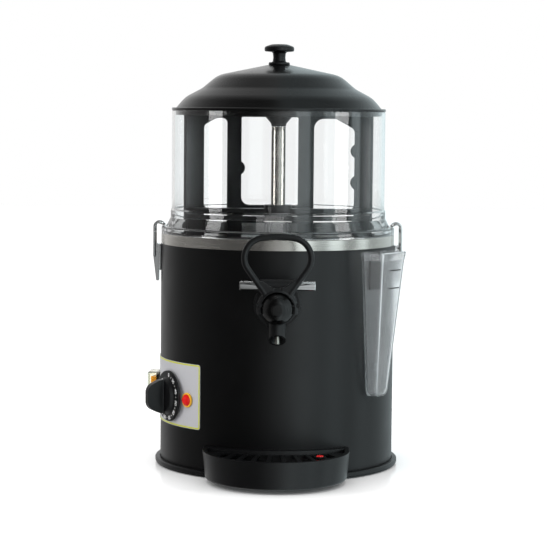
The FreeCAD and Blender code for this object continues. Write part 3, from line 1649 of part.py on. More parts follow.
def cup_section(width, depth, inset, z):
    """Rounded rectangle wire of the cup at a height, with its back against the shell."""
    half = float(width) / 2 - inset
    near = -float(d.cup_back) - inset
    far = -float(d.cup_back) - float(depth) + inset
    bend = max(float(d.cup_round) - inset, 1.0)
    corners = [V(-half, near, z), V(-half, far, z), V(half, far, z), V(half, near, z)]
    edges = []
    count = len(corners)
    rounds = [1.0, bend, bend, 1.0]
    tangents = [
        rounding(corners[i - 1], corners[i], corners[(i + 1) % count], rounds[i])
        for i in range(count)
    ]
    for i in range(count):
        first, second, centre, _ = tangents[i]
        crest = centre + (corners[i] - centre).normalize() * rounds[i]
        for point in (first, second, crest):
            point.z = z
        edges.append(Part.Arc(first, crest, second).toShape())
        following = tangents[(i + 1) % count][0]
        edges.append(Part.LineSegment(second, V(following.x, following.y, z)).toShape())
    return Part.Wire(edges)


def make_fill_cup():
    """Clear tapered cup that shows and takes the tank's water, its pipe and its bracket."""
    low = float(d.cup_bottom)
    top = float(d.cup_top)
    wall = float(d.cup_wall)
    band = float(d.cup_band)
    step = float(d.cup_band_step)
    outer = Part.makeLoft([
        cup_section(d.cup_low_width, d.cup_low_depth, 0.0, low),
        cup_section(d.cup_width, d.cup_depth, 0.0, top),
    ], True, True)
    rim = Part.makeLoft([
        cup_section(d.cup_width + step, d.cup_depth + step / 2, 0.0, top - band),
        cup_section(d.cup_width + step * 2, d.cup_depth + step, 0.0, top),
    ], True, True)
    hollow = Part.makeLoft([
        cup_section(d.cup_low_width, d.cup_low_depth, wall, low + wall),
        cup_section(d.cup_width, d.cup_depth, wall, top + 0.01),
    ], True, True)
    solid = outer.fuse(rim).removeSplitter().cut(hollow)
    cup = shaped("CupSolid", solid)
    place(cup, yaw=d.cup_azimuth)
    reach = d.cup_back + d.cup_wall * 3
    pipe_start = d.tank_radius - d.sheet_wall
    hole = radial(
        cylinder(d.cup_pipe_radius + d.seat_gap, reach - pipe_start), pipe_start,
        d.cup_azimuth, d.cup_pipe_z,
    )
    label(cut(cup, hole), "fill_cup")
    end = d.cup_back + d.cup_wall * 2
    pipe = radial(
        cylinder(d.cup_pipe_radius, end - pipe_start), pipe_start, d.cup_azimuth, d.cup_pipe_z
    )
    bore = radial(
        cylinder(d.cup_pipe_bore, end - pipe_start), pipe_start, d.cup_azimuth, d.cup_pipe_z
    )
    label(cut(pipe, bore), "fill_pipe")
    plate_back = d.cup_back + d.cup_wall + d.seat_gap
    plate = doc.addObject("PartDesign::Body", "CupBracketPlate")
    middle = (d.bracket_plate_low + d.bracket_plate_high) / 2
    half_z = (d.bracket_plate_high - d.bracket_plate_low) / 2
    half = d.bracket_plate_half
    pad(plate, "XY_Plane", [rectangle(-half, -half_z, half, half_z, 2.0)], 2.0)
    radial(plate, plate_back, d.cup_azimuth, middle)
    label(plate, "cup_bracket")


# Latches

def make_latch(side, azimuth):
    """Toggle latch: riveted base with ears, lever and wire bail."""
    base = new_body(f"latch_base_{side}")
    half = d.latch_plate_half
    seat = d.shell_radius + d.seat_gap
    plate_end = seat + d.latch_plate
    ear_inner = d.latch_half + d.free_gap
    ear_outer = ear_inner + d.latch_ear
    pad(base, "XZ_Plane", [rectangle(-half, d.latch_plate_low, half, d.latch_plate_high, 3.0)],
        d.latch_plate, offset=seat)
    reach = d.latch_pivot + d.latch_ear_half * 0.5
    for sign in (-1, 1):
        ear = pad(base, "YZ_Plane", [[
            (-seat, d.latch_pivot_z - d.latch_ear_half - 3.0),
            (-seat, d.latch_plate_high - 0.5),
            (-reach, d.latch_plate_high - 0.5, 2.0),
            (-reach, d.latch_pivot_z - d.latch_ear_half + 2.0, 3.0),
        ]], d.latch_ear, offset=(ear_inner if sign > 0 else -ear_outer))
    pocket(
        base, "YZ_Plane", [("circle", -d.latch_pivot, d.latch_pivot_z, d.latch_pin_radius + 0.02)],
        ear_outer * 3, symmetric=True,
    )
    place(base, yaw=azimuth)
    lever = new_body(f"latch_lever_{side}")
    r = d.latch_round
    pad(lever, "YZ_Plane", [[
        (-(d.latch_pivot - r), d.latch_pivot_z + r, r * 0.98),
        (-(d.latch_pivot - r), d.latch_pivot_z - r * 2.0),
        (-d.latch_low_inner, d.latch_low_z, 1.0),
        (-d.latch_low_outer, d.latch_low_z, 1.2),
        (-d.latch_outer, d.wire_seat_z + 1.0, 8.0),
        (-(d.latch_pivot + r), d.latch_pivot_z + r, r * 0.98),
    ]], d.latch_half * 2, symmetric=True)
    for y, z, radius in (
        (d.latch_pivot, d.latch_pivot_z, d.latch_pin_radius + d.running_gap),
        (d.wire_seat, d.wire_seat_z, d.wire_radius + d.running_gap),
    ):
        pocket(lever, "YZ_Plane", [("circle", -y, z, radius)], d.latch_half * 3, symmetric=True)
    place(lever, yaw=azimuth)
    edge = float(d.wire_half)
    seat_y = -float(d.wire_seat)
    seat_z = float(d.wire_seat_z)
    tip_y = -float(d.wire_tip)
    tip_z = float(d.bowl_flange_top + d.wire_radius + d.free_gap)
    crest = float(d.wire_crest_z)
    start = float(d.latch_half) * 0.6
    points = [
        V(-start, seat_y, seat_z), V(-edge, seat_y, seat_z), V(-edge, seat_y, crest),
        V(-edge, tip_y, tip_z), V(edge, tip_y, tip_z), V(edge, seat_y, crest),
        V(edge, seat_y, seat_z), V(start, seat_y, seat_z),
    ]
    bend = float(d.wire_bend)
    tight = float(d.wire_radius) * 1.4
    wire = bent_tube(points, [tight, bend, bend, bend, bend, tight], d.wire_radius)
    feature = shaped(f"latch_wire_{side}", wire)
    place(feature, yaw=azimuth)
    label(feature, f"latch_wire_{side}")
    return cylinder_across(ear_outer, azimuth)


def cylinder_across(half, azimuth):
    """Pin across a latch's ears."""
    inner = cosine(azimuth)
    turn = sine(azimuth)
    return place(
        cylinder(d.latch_pin_radius, half * 2),
        x=d.latch_pivot * turn - half * inner,
        y=-(d.latch_pivot * inner) - half * turn,
        z=d.latch_pivot_z,
        yaw=azimuth,
        pitch=90.0,
    )


def make_latches():
    """Both bowl latches and their pins."""
    pins = [make_latch("left", -d.latch_azimuth), make_latch("right", d.latch_azimuth)]
    group("latch_pins", pins)


# Drip tray

def make_drip_tray():
    """Round-fronted tray that hooks into the shell, its slotted grille and its float."""
    front = doc.addObject("PartDesign::Body", "TrayFront")
    revolve(front, [
        (0, d.tray_bottom), (d.tray_low_radius, d.tray_bottom, d.tray_low_round),
        (d.tray_radius, d.tray_top, d.tray_round), (0, d.tray_top),
    ], angle=180.0)
    place(front, y=-d.tray_centre, yaw=180.0)
    sides = doc.addObject("PartDesign::Body", "TraySides")
    pad(sides, "XZ_Plane", [[
        (-d.tray_low_radius, d.tray_bottom, d.tray_low_round),
        (d.tray_low_radius, d.tray_bottom, d.tray_low_round),
        (d.tray_radius, d.tray_top, d.tray_round),
        (-d.tray_radius, d.tray_top, d.tray_round),
    ]], d.tray_centre)
    floor = d.tray_bottom + d.tray_floor
    back = d.base_radius + d.free_gap
    cavity = doc.addObject("PartDesign::Body", "TrayCavity")
    pad(
        cavity, "XY_Plane",
        [("bay", d.tray_low_radius - d.tray_wall, -d.tray_centre, back + d.tray_wall)],
        d.tray_top, offset=floor,
    )
    tools = [
        cylinder(d.shell_radius + d.free_gap, d.tray_top * 2),
        cylinder(back, d.base_height + d.free_gap),
        cavity,
    ]
    tabs = []
    shell_line = root(d.shell_radius * d.shell_radius - d.tab_half * d.tab_half)
    for side in (-1, 1):
        tabs.append(box(
            d.tab_width, d.tab_reach + 8.0, d.tab_height,
            d.tab_half * side - d.tab_width / 2, -(shell_line + 5.0), d.tab_z,
        ))
    label(fuse(cut(fuse(front, sides), *tools), *tabs), "drip_tray")
    seat = d.tray_top - d.grille_recess - d.grille_thickness
    grille = new_body("drip_grille")
    edge = d.tray_low_radius - d.tray_wall - d.free_gap
    inner_edge = d.base_radius + d.tray_wall + d.free_gap * 2
    outline = ("bay", edge, -d.tray_centre, inner_edge)
    pad(grille, "XY_Plane", [outline], d.grille_thickness, offset=seat)
    half = d.slot_width / 2
    wide = d.slot_wide / 2
    reach = d.tray_centre + d.tray_radius
    spread = d.slot_angle * (d.slot_count - 1)
    slot = pocket(
        grille, "XY_Plane",
        [[(-wide, -reach), (wide, -reach), (half, -d.slot_start), (-half, -d.slot_start)]],
        d.grille_thickness, offset=seat,
    )
    slot.Profile[0].AttachmentOffset = FreeCAD.Placement(
        V(0, 0, float(seat)), FreeCAD.Rotation(V(0, 0, 1), -float(spread / 2))
    )
    polar(grille, [slot], d.slot_count, spread)
    rim = pad(grille, "XY_Plane", [outline, (
        "bay", edge - d.grille_rim, -d.tray_centre, inner_edge + d.grille_rim * 0.4,
    )], d.grille_thickness, offset=seat)
    grille.Tip = rim
    spot_x = d.float_ring * sine(d.float_azimuth)
    spot_y = -(d.float_ring * cosine(d.float_azimuth))
    hole_radius = d.float_radius + d.free_gap
    pad(
        grille, "XY_Plane", [("circle", spot_x, spot_y, hole_radius + d.float_collar)],
        d.grille_thickness, offset=seat,
    )
    pocket(
        grille, "XY_Plane", [("circle", spot_x, spot_y, hole_radius)],
        d.grille_thickness, offset=seat,
    )
    float_piece = new_body("drip_float")
    radius = d.float_radius
    revolve(float_piece, [
        (0, floor + d.free_gap), (radius * 1.8, floor + d.free_gap), (radius * 1.8, seat - 4.0),
        (radius, seat - 4.0), (radius, d.float_top, 1.2), (0, d.float_top),
    ])
    place(float_piece, x=spot_x, y=spot_y)


def make_gland():
    """Empty cable gland in the shell's back."""
    bore_length = d.gland_hex + d.gland_dome + 14.0
    seat = d.shell_radius + d.free_gap
    inside = 8.0
    body = radial(cylinder(d.gland_radius, inside), seat - inside, d.gland_azimuth, d.gland_z)
    head = radial(hexagon(d.gland_hex_radius, d.gland_hex), seat, d.gland_azimuth, d.gland_z)
    dome = radial(
        cone(d.gland_radius, d.gland_radius * 0.7, d.gland_dome),
        seat + d.gland_hex, d.gland_azimuth, d.gland_z,
    )
    bore = radial(cylinder(d.gland_bore, bore_length), seat - inside, d.gland_azimuth, d.gland_z)
    label(cut(fuse(body, head, dome), bore), "cable_gland")


def check_and_write():
    """Stop on a failed object, then write one file for each sub-part."""
    for thing in doc.Objects:
        if "Invalid" in thing.State or "Error" in thing.State:
            raise RuntimeError(f"{thing.Label} failed: {thing.State}")
    for name, thing in subparts.items():
        shape = thing.Shape
        if shape.isNull() or not shape.isValid() or not shape.Solids:
            raise RuntimeError(f"{name} has no valid solid")
    os.makedirs("parts", exist_ok=True)
    for name, thing in subparts.items():
        thing.Shape.exportStep(os.path.join("parts", f"{name}.step"))
    print(len(subparts), "sub-parts written")


make_base_flange()
make_base_plate()
make_feet()
make_body_shell()
make_water_tank()
make_inner_pan()
make_bowl()
make_column()
make_drive()
make_mixer()
make_motor()
make_heater()
make_lid()
make_outlet()
make_tap_body()
make_tap_cap()
make_tap_lever()
make_valve()
make_control_plate()
make_thermostat()
make_lamp()
make_switch()
make_fill_cup()
make_latches()
make_drip_tray()
make_gland()
doc.recompute()
check_and_write()
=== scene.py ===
"""Hot chocolate dispenser: the looks of the machine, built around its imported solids."""

import math

import bmesh
import bpy
from mathutils import Euler, Matrix, Vector


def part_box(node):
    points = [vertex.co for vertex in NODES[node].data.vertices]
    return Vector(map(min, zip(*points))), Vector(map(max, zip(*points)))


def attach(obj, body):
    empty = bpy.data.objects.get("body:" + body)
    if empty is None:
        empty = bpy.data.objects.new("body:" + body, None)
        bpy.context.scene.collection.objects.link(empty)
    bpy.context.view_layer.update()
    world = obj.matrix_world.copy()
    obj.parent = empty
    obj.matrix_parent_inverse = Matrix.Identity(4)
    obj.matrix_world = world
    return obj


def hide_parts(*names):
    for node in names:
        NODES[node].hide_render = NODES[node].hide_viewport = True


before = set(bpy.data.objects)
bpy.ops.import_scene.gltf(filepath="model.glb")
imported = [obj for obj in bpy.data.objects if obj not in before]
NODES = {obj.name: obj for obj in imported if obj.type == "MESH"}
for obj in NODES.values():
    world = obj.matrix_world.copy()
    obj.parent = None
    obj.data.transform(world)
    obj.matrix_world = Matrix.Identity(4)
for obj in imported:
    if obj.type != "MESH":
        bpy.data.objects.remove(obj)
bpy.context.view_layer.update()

bl_info = {
    "name": "Hot Chocolate Dispenser",
    "version": (1, 0, 0),
    "blender": (4, 5, 0),
    "location": "View3D > Sidebar > Dispenser",
    "description": "Builds the dispenser's pieces, finishes and studio",
    "category": "Add Mesh",
}

MM = 0.001
ROUND_STEPS = 192
SMALL_STEPS = 64
BACK = 180.0

# Places that several pieces share, in millimetres, with azimuths in degrees from the front

TAP_Z = 196.0
OUTLET_HOLE = 13.2
SPOUT_Y = -173.5
LEVER_Y = -189.0
CROSS_BAR = (-158.0, 218.0)
COLUMN_HOLE = 8.35
FOOT_RING = 121.0
TAB_HALF = 40.0
DIAL_SPOT = (-62.0, 84.6)
LAMP_SPOT = (-47.2, 83.7)
SWITCH_SPOT = (-95.0, 92.0)
CUP_AZIMUTH = 53.0
GLAND_AZIMUTH = 160.0


# Outlines and profiles, in millimetres

def smooth_path(corners, closed=True, turn=9.0):
    """Points along straight runs; a corner given as u, v, r becomes an arc of radius r."""
    points = []
    count = len(corners)
    for i, corner in enumerate(corners):
        here = Vector(corner[:2])
        radius = corner[2] if len(corner) > 2 else 0.0
        if radius <= 0 or (not closed and i in (0, count - 1)):
            points.append(here)
            continue
        back = (Vector(corners[i - 1][:2]) - here).normalized()
        ahead = (Vector(corners[(i + 1) % count][:2]) - here).normalized()
        half = back.angle(ahead) / 2
        reach = radius / math.tan(half)
        centre = here + (back + ahead).normalized() * (radius / math.sin(half))
        first = here + back * reach - centre
        last = here + ahead * reach - centre
        sweep = first.angle_signed(last)
        steps = max(2, int(abs(math.degrees(sweep)) / turn))
        for step in range(steps + 1):
            spoke = first.copy()
            spoke.rotate(Matrix.Rotation(-sweep * step / steps, 2))
            points.append(centre + spoke)
    return points


def rectangle(left, low, right, high, radius=0.0):
    """Corners of an upright rectangle, all rounded alike."""
    return [
        (left, low, radius), (right, low, radius), (right, high, radius), (left, high, radius)
    ]


def circle(u, v, radius, steps=32):
    """Points of a circle."""
    return [
        Vector((u + radius * math.cos(2 * math.pi * i / steps),
                v + radius * math.sin(2 * math.pi * i / steps)))
        for i in range(steps)
    ]


# Solids, as bmesh in metres

def guarded(points, margin):
    """Points with one more near both ends of every long run, so that shading stays flat between."""
    result = []
    for i, here in enumerate(points):
        there = points[(i + 1) % len(points)]
        result.append(here)
        if (there - here).length > margin * 4:
            step = (there - here).normalized() * margin
            result += [here + step, there - step]
    return result


def lathe(corners, steps=ROUND_STEPS, start=0.0, sweep=360.0, closed=True, guard=0.0):
    """A profile of r, z corners turned about Z; azimuth 0 is the front, -Y."""
    profile = smooth_path(corners, closed)
    if guard:
        profile = guarded(profile, guard)
    solid = bmesh.new()
    full = sweep >= 360.0
    columns = []
    for i in range(steps if full else steps + 1):
        angle = math.radians(start + sweep * i / steps)
        across, ahead = math.sin(angle) * MM, -math.cos(angle) * MM
        columns.append([solid.verts.new((p.x * across, p.x * ahead, p.y * MM)) for p in profile])
    count = len(profile)
    for i in range(len(columns) if full else len(columns) - 1):
        left, right = columns[i], columns[(i + 1) % len(columns)]
        for j in range(count if closed else count - 1):
            k = (j + 1) % count
            solid.faces.new((left[j], right[j], right[k], left[k]))
    if not full and closed:
        solid.faces.new(columns[0])
        solid.faces.new(list(reversed(columns[-1])))
    return tidy(solid)


def tidy(solid):
    """Merge doubled points and face everything outwards."""
    bmesh.ops.remove_doubles(solid, verts=solid.verts, dist=2e-6)
    bmesh.ops.dissolve_degenerate(solid, edges=solid.edges, dist=1e-6)
    bmesh.ops.recalc_face_normals(solid, faces=solid.faces)
    return solid


def prism(points, low, high):
    """A flat outline raised from low to high along Z."""
    solid = bmesh.new()
    bottom = [solid.verts.new((p[0] * MM, p[1] * MM, low * MM)) for p in points]
    top = [solid.verts.new((p[0] * MM, p[1] * MM, high * MM)) for p in points]
    solid.faces.new(list(reversed(bottom)))
    solid.faces.new(top)
    count = len(points)
    for i in range(count):
        k = (i + 1) % count
        solid.faces.new((bottom[i], bottom[k], top[k], top[i]))
    return tidy(solid)


def band(outer, inner, low, high):
    """A flat ring between two outlines with equally many points, raised from low to high."""
    solid = bmesh.new()
    loops = [
        [solid.verts.new((p[0] * MM, p[1] * MM, z * MM)) for p in line]
        for line, z in ((outer, low), (outer, high), (inner, high), (inner, low))
    ]
    count = len(outer)
    for side in range(4):
        here, there = loops[side], loops[(side + 1) % 4]
        for i in range(count):
            k = (i + 1) % count
            solid.faces.new((here[i], here[k], there[k], there[i]))
    return tidy(solid)


def stack(rings):
    """Closed loops with equally many points joined in order, the first and last filled."""
    solid = bmesh.new()
    loops = [[solid.verts.new(Vector(p) * MM) for p in ring] for ring in rings]
    for here, there in zip(loops, loops[1:]):
        count = len(here)
        for i in range(count):
            k = (i + 1) % count
            solid.faces.new((here[i], here[k], there[k], there[i]))
    solid.faces.new(list(reversed(loops[0])))
    solid.faces.new(loops[-1])
    return tidy(solid)


def rod(points, bends, radius, steps=20):
    """A round bar along 3D points whose inner corners are bent to the given radii."""
    path = [Vector(points[0])]
    for i in range(1, len(points) - 1):
        here = Vector(points[i])
        back = (Vector(points[i - 1]) - here).normalized()
        ahead = (Vector(points[i + 1]) - here).normalized()
        half = back.angle(ahead) / 2
        reach = bends[i - 1] / math.tan(half)
        centre = here + (back + ahead).normalized() * (bends[i - 1] / math.sin(half))
        first = here + back * reach - centre
        last = here + ahead * reach - centre
        turn = first.rotation_difference(last)
        parts = max(3, int(math.degrees(turn.angle) / 7))
        for step in range(parts + 1):
            spoke = first.copy()
            spoke.rotate(Matrix.Rotation(turn.angle * step / parts, 3, turn.axis))
            path.append(centre + spoke)
    path.append(Vector(points[-1]))
    path = [p for i, p in enumerate(path) if i == 0 or (p - path[i - 1]).length > 1e-4]
    rings = []
    side = None
    for i, p in enumerate(path):
        before = path[max(i - 1, 0)]
        after = path[min(i + 1, len(path) - 1)]
        along = (after - before).normalized()
        if side is None:
            side = along.orthogonal().normalized()
        side = (side - along * side.dot(along)).normalized()
        other = along.cross(side)
        rings.append([
            p + (side * math.cos(2 * math.pi * j / steps) + other * math.sin(2 * math.pi * j / steps))
            * radius
            for j in range(steps)
        ])
    return stack(rings)


def moved(solid, matrix):
    """The same solid, placed."""
    bmesh.ops.transform(solid, matrix=matrix, verts=solid.verts)
    return solid


def outward(radius, azimuth, height):
    """Placement whose Z axis points out from the machine's axis at an azimuth."""
    angle = math.radians(azimuth)
    spot = Vector((radius * math.sin(angle), -radius * math.cos(angle), height)) * MM
    return Matrix.Translation(spot) @ Euler((math.pi / 2, 0, angle)).to_matrix().to_4x4()


def shift(x=0.0, y=0.0, z=0.0):
    """A plain move in millimetres."""
    return Matrix.Translation(Vector((x, y, z)) * MM)


def turned(axis, degrees):
    """A plain turn about an axis through the origin."""
    return Matrix.Rotation(math.radians(degrees), 4, axis)


def joined(*solids):
    """Several solids in one bmesh."""
    whole = solids[0]
    for solid in solids[1:]:
        scrap = bpy.data.meshes.new("scrap")
        solid.to_mesh(scrap)
        solid.free()
        whole.from_mesh(scrap)
        bpy.data.meshes.remove(scrap)
    return whole


def wrapped(solid, radius, step=3.0):
    """A flat piece, drawn in X and Z and thick along Y, bent round the machine's axis."""
    edge = max(abs(v.co.x) for v in solid.verts)
    line = -math.floor(edge / (step * MM)) * step * MM
    while line < edge:
        geometry = list(solid.verts) + list(solid.edges) + list(solid.faces)
        bmesh.ops.bisect_plane(solid, geom=geometry, plane_co=(line, 0, 0), plane_no=(1, 0, 0))
        line += step * MM
    for vertex in solid.verts:
        angle = vertex.co.x / (radius * MM)
        reach = radius * MM - vertex.co.y
        vertex.co = Vector((reach * math.sin(angle), -reach * math.cos(angle), vertex.co.z))
    return solid


def upright(solid):
    """A prism drawn in X and Y, stood up so that it is drawn in X and Z and thick towards -Y."""
    return moved(solid, turned("X", 90))


def slab(corners, low, high):
    """Corners drawn in X and Z, thick from low to high towards -Y."""
    return upright(prism(smooth_path(corners), low, high))


def drill(radius, low, high, place=Matrix.Identity(4), steps=40):
    """A round bar from low to high along Z, placed, to cut a hole with."""
    return moved(prism(circle(0, 0, radius, steps), low, high), place)


def along_x(x, y, z):
    """Placement whose Z axis points along X."""
    return shift(x, y, z) @ turned("Y", 90)


# Turns a prism so that it is drawn in reach and height, and thick along X
SIDEWAYS = Matrix(((0, 0, 1, 0), (-1, 0, 0, 0), (0, 1, 0, 0), (0, 0, 0, 1)))


# Objects

def as_object(name, solid):
    """A new object at the origin that holds the solid."""
    mesh = bpy.data.meshes.new(name)
    solid.to_mesh(mesh)
    solid.free()
    thing = bpy.data.objects.new(name, mesh)
    bpy.context.scene.collection.objects.link(thing)
    return thing


def settled(thing):
    """Apply all of a thing's modifiers to its mesh."""
    graph = bpy.context.evaluated_depsgraph_get()
    mesh = bpy.data.meshes.new_from_object(thing.evaluated_get(graph))
    thing.modifiers.clear()
    old = thing.data
    thing.data = mesh
    bpy.data.meshes.remove(old)
    return thing


def carved(thing, *cutters):
    """Take the cutters away from a thing."""
    cutter = as_object("cutter", joined(*cutters))
    tool = thing.modifiers.new("Carve", "BOOLEAN")
    tool.operation = "DIFFERENCE"
    tool.solver = "EXACT"
    tool.use_self = True
    tool.object = cutter
    settled(thing)
    bpy.data.objects.remove(cutter)
    return thing


def moulded(thing, voxel, rounds):
    """Run overlapping solids into one skin with soft inner corners, as a moulding has."""
    skin = thing.modifiers.new("Skin", "REMESH")
    skin.mode = "VOXEL"
    skin.voxel_size = voxel * MM
    soften = thing.modifiers.new("Soften", "SMOOTH")
    soften.factor = 0.5
    soften.iterations = rounds
    return settled(thing)


def dressed(thing, material, body, replaces=(), bevel=0.0, crease=32.0, parts=3):
    """Shade, bevel and finish a thing, and tie it to its body."""
    mesh = thing.data
    mesh.shade_smooth()
    mesh.set_sharp_from_angle(angle=math.radians(crease))
    mesh.materials.clear()
    mesh.materials.append(material)
    if bevel:
        edge = thing.modifiers.new("Edge", "BEVEL")
        edge.width = bevel * MM
        edge.segments = parts
        edge.limit_method = "ANGLE"
        edge.angle_limit = math.radians(crease)
        edge.harden_normals = True
    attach(thing, body)
    if replaces:
        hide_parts(*replaces)
    return thing


def finish_node(material, *names):
    """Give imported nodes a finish."""
    for name in names:
        mesh = NODES[name].data
        mesh.materials.clear()
        mesh.materials.append(material)


# Shader building

class Graph:
    """Short way to place and link shader nodes."""

    def __init__(self, tree):
        self.tree = tree

    def add(self, kind, settings=None, **inputs):
        """Place a node; inputs are values or output sockets, named by socket."""
        node = self.tree.nodes.new(kind)
        for key, value in (settings or {}).items():
            setattr(node, key, value)
        for key, value in inputs.items():
            self.feed(node.inputs[key.replace("_", " ")], value)
        return node

    def feed(self, socket, value):
        """Link an output to a socket or write a value in it."""
        if isinstance(value, bpy.types.NodeSocket):
            self.tree.links.new(value, socket)
        else:
            socket.default_value = value

    def math(self, operation, first, second=0.0):
        """Result of a math node."""
        node = self.tree.nodes.new("ShaderNodeMath")
        node.operation = operation
        self.feed(node.inputs[0], first)
        self.feed(node.inputs[1], second)
        return node.outputs[0]

    def spread(self, value, low, high, new_low, new_high):
        """Value mapped from one range to another, held at its ends."""
        node = self.tree.nodes.new("ShaderNodeMapRange")
        for socket, number in zip(node.inputs, (value, low, high, new_low, new_high)):
            self.feed(socket, number)
        return node.outputs[0]

    def choose(self, factor, first, second):
        """Two shaders mixed by a factor."""
        node = self.tree.nodes.new("ShaderNodeMixShader")
        for socket, value in zip(node.inputs, (factor, first, second)):
            self.feed(socket, value)
        return node.outputs[0]

    def end(self, kind, shader):
        """Place the output node and link the shader to it."""
        self.feed(self.tree.nodes.new(kind).inputs[0], shader)

    def blend(self, factor, first, second):
        """Two colours mixed by a factor."""
        node = self.tree.nodes.new("ShaderNodeMix")
        node.data_type = "RGBA"
        self.feed(node.inputs[0], factor)
        self.feed(node.inputs[6], first)
        self.feed(node.inputs[7], second)
        return node.outputs[2]


def emptied(owner):
    """A graph on the owner's shader tree, with nothing in it."""
    owner.use_nodes = True
    owner.node_tree.nodes.clear()
    return Graph(owner.node_tree)


def new_group(name, inputs, outputs):
    """An empty shader group with its sockets."""
    tree = bpy.data.node_groups.new(name, "ShaderNodeTree")
    for label, kind, value in inputs:
        socket = tree.interface.new_socket(label, in_out="INPUT", socket_type=kind)
        socket.default_value = value
    for label, kind in outputs:
        tree.interface.new_socket(label, in_out="OUTPUT", socket_type=kind)
    graph = Graph(tree)
    start = tree.nodes.new("NodeGroupInput")
    end = tree.nodes.new("NodeGroupOutput")
    return graph, start.outputs, end.inputs


FLOAT = "NodeSocketFloat"
COLOUR = "NodeSocketColor"


def make_surface_group():
    """Fine grain, broad unevenness and faint rubbed patches."""
    graph, given, put = new_group("Surface", (
        ("Colour", COLOUR, (0.5, 0.5, 0.5, 1)),
        ("Rubbed Colour", COLOUR, (0.6, 0.6, 0.6, 1)),
        ("Rubbing", FLOAT, 0.2),
        ("Smooth", FLOAT, 0.3),
        ("Rough", FLOAT, 0.45),
        ("Grain per mm", FLOAT, 2.0),
    ), (("Colour", COLOUR), ("Roughness", FLOAT), ("Height", FLOAT)))
    place = graph.add("ShaderNodeTexCoord").outputs["Object"]
    fine = graph.add(
        "ShaderNodeTexNoise", Vector=place, Detail=3.0, Roughness=0.6,
        Scale=graph.math("MULTIPLY", given["Grain per mm"], 1000.0),
    ).outputs["Fac"]
    broad = graph.add(
        "ShaderNodeTexNoise", Vector=place, Scale=22.0, Detail=5.0, Roughness=0.55, Distortion=0.4
    ).outputs["Fac"]
    streak = graph.add(
        "ShaderNodeTexNoise", Vector=place, Scale=95.0, Detail=6.0, Roughness=0.7
    ).outputs["Fac"]
    patches = graph.math(
        "MULTIPLY", graph.spread(broad, 0.46, 0.7, 0.0, 1.0), graph.spread(streak, 0.42, 0.68, 0.0, 1.0)
    )
    rubbed = graph.math("MULTIPLY", patches, given["Rubbing"])
    mixed = graph.blend(rubbed, given["Colour"], given["Rubbed Colour"])
    graph.feed(put["Colour"], mixed)
    uneven = graph.math("ADD", graph.math("MULTIPLY", broad, 0.7), graph.math("MULTIPLY", fine, 0.3))
    graph.feed(put["Roughness"], graph.spread(uneven, 0.3, 0.7, given["Smooth"], given["Rough"]))
    graph.feed(put["Height"], fine)
    return graph.tree


def make_brushed_group():
    """Fine lines that run round the machine's axis, as on turned or rolled steel."""
    graph, given, put = new_group("Brushed lines", (
        ("Colour", COLOUR, (0.6, 0.6, 0.6, 1)),
        ("Dark Colour", COLOUR, (0.45, 0.45, 0.45, 1)),
        ("Smooth", FLOAT, 0.2),
        ("Rough", FLOAT, 0.4),
        ("Lines per mm", FLOAT, 3.0),
    ), (("Colour", COLOUR), ("Roughness", FLOAT), ("Height", FLOAT)))
    place = graph.add("ShaderNodeTexCoord").outputs["Object"]
    parts = graph.add("ShaderNodeSeparateXYZ", Vector=place).outputs
    angle = graph.math("ARCTAN2", parts["X"], parts["Y"])
    reach = graph.math("SQRT", graph.math(
        "ADD", graph.math("POWER", parts["X"], 2.0), graph.math("POWER", parts["Y"], 2.0)
    ))
    density = graph.math("MULTIPLY", given["Lines per mm"], 1000.0)
    line_place = graph.add(
        "ShaderNodeCombineXYZ",
        X=graph.math("MULTIPLY", angle, 3.0),
        Y=graph.math("MULTIPLY", reach, density),
        Z=graph.math("MULTIPLY", parts["Z"], density),
    ).outputs[0]
    lines = graph.add(
        "ShaderNodeTexNoise", Vector=line_place, Scale=1.0, Detail=4.0, Roughness=0.75
    ).outputs["Fac"]
    cloud = graph.add(
        "ShaderNodeTexNoise", Vector=place, Scale=30.0, Detail=4.0, Roughness=0.5
    ).outputs["Fac"]
    shade = graph.spread(lines, 0.35, 0.65, 0.0, 1.0)
    graph.feed(put["Colour"], graph.blend(shade, given["Dark Colour"], given["Colour"]))
    mixed = graph.math("ADD", graph.math("MULTIPLY", lines, 0.6), graph.math("MULTIPLY", cloud, 0.4))
    graph.feed(put["Roughness"], graph.spread(mixed, 0.35, 0.65, given["Smooth"], given["Rough"]))
    graph.feed(put["Height"], lines)
    return graph.tree


def finish(name, group, sockets, bump=0.1, depth=0.02, **shader):
    """A material: a Principled shader whose colour, roughness and bump come from a group."""
    material = bpy.data.materials.new(name)
    graph = emptied(material)
    effect = graph.tree.nodes.new("ShaderNodeGroup")
    effect.node_tree = bpy.data.node_groups[group]
    for key, value in sockets.items():
        effect.inputs[key].default_value = value
    relief = graph.add(
        "ShaderNodeBump", Strength=bump, Distance=depth * MM, Height=effect.outputs["Height"]
    )
    base = graph.add("ShaderNodeBsdfPrincipled")
    graph.feed(base.inputs["Base Color"], effect.outputs["Colour"])
    graph.feed(base.inputs["Roughness"], effect.outputs["Roughness"])
    graph.feed(base.inputs["Normal"], relief.outputs["Normal"])
    for key, value in shader.items():
        base.inputs[key.replace("_", " ")].default_value = value
    graph.end("ShaderNodeOutputMaterial", base.outputs[0])
    material.diffuse_color = sockets["Colour"]
    return material


def shade(red, green=None, blue=None):
    """A colour with full alpha, grey if only one value is given."""
    if green is None:
        return (red, red, red, 1.0)
    return (red, green, blue, 1.0)


def plain_skin(name, colour, rubbed, rubbing, smooth, rough, grain, **more):
    """A material on the surface group."""
    return finish(name, "Surface", {
        "Colour": colour, "Rubbed Colour": rubbed, "Rubbing": rubbing,
        "Smooth": smooth, "Rough": rough, "Grain per mm": grain,
    }, **more)


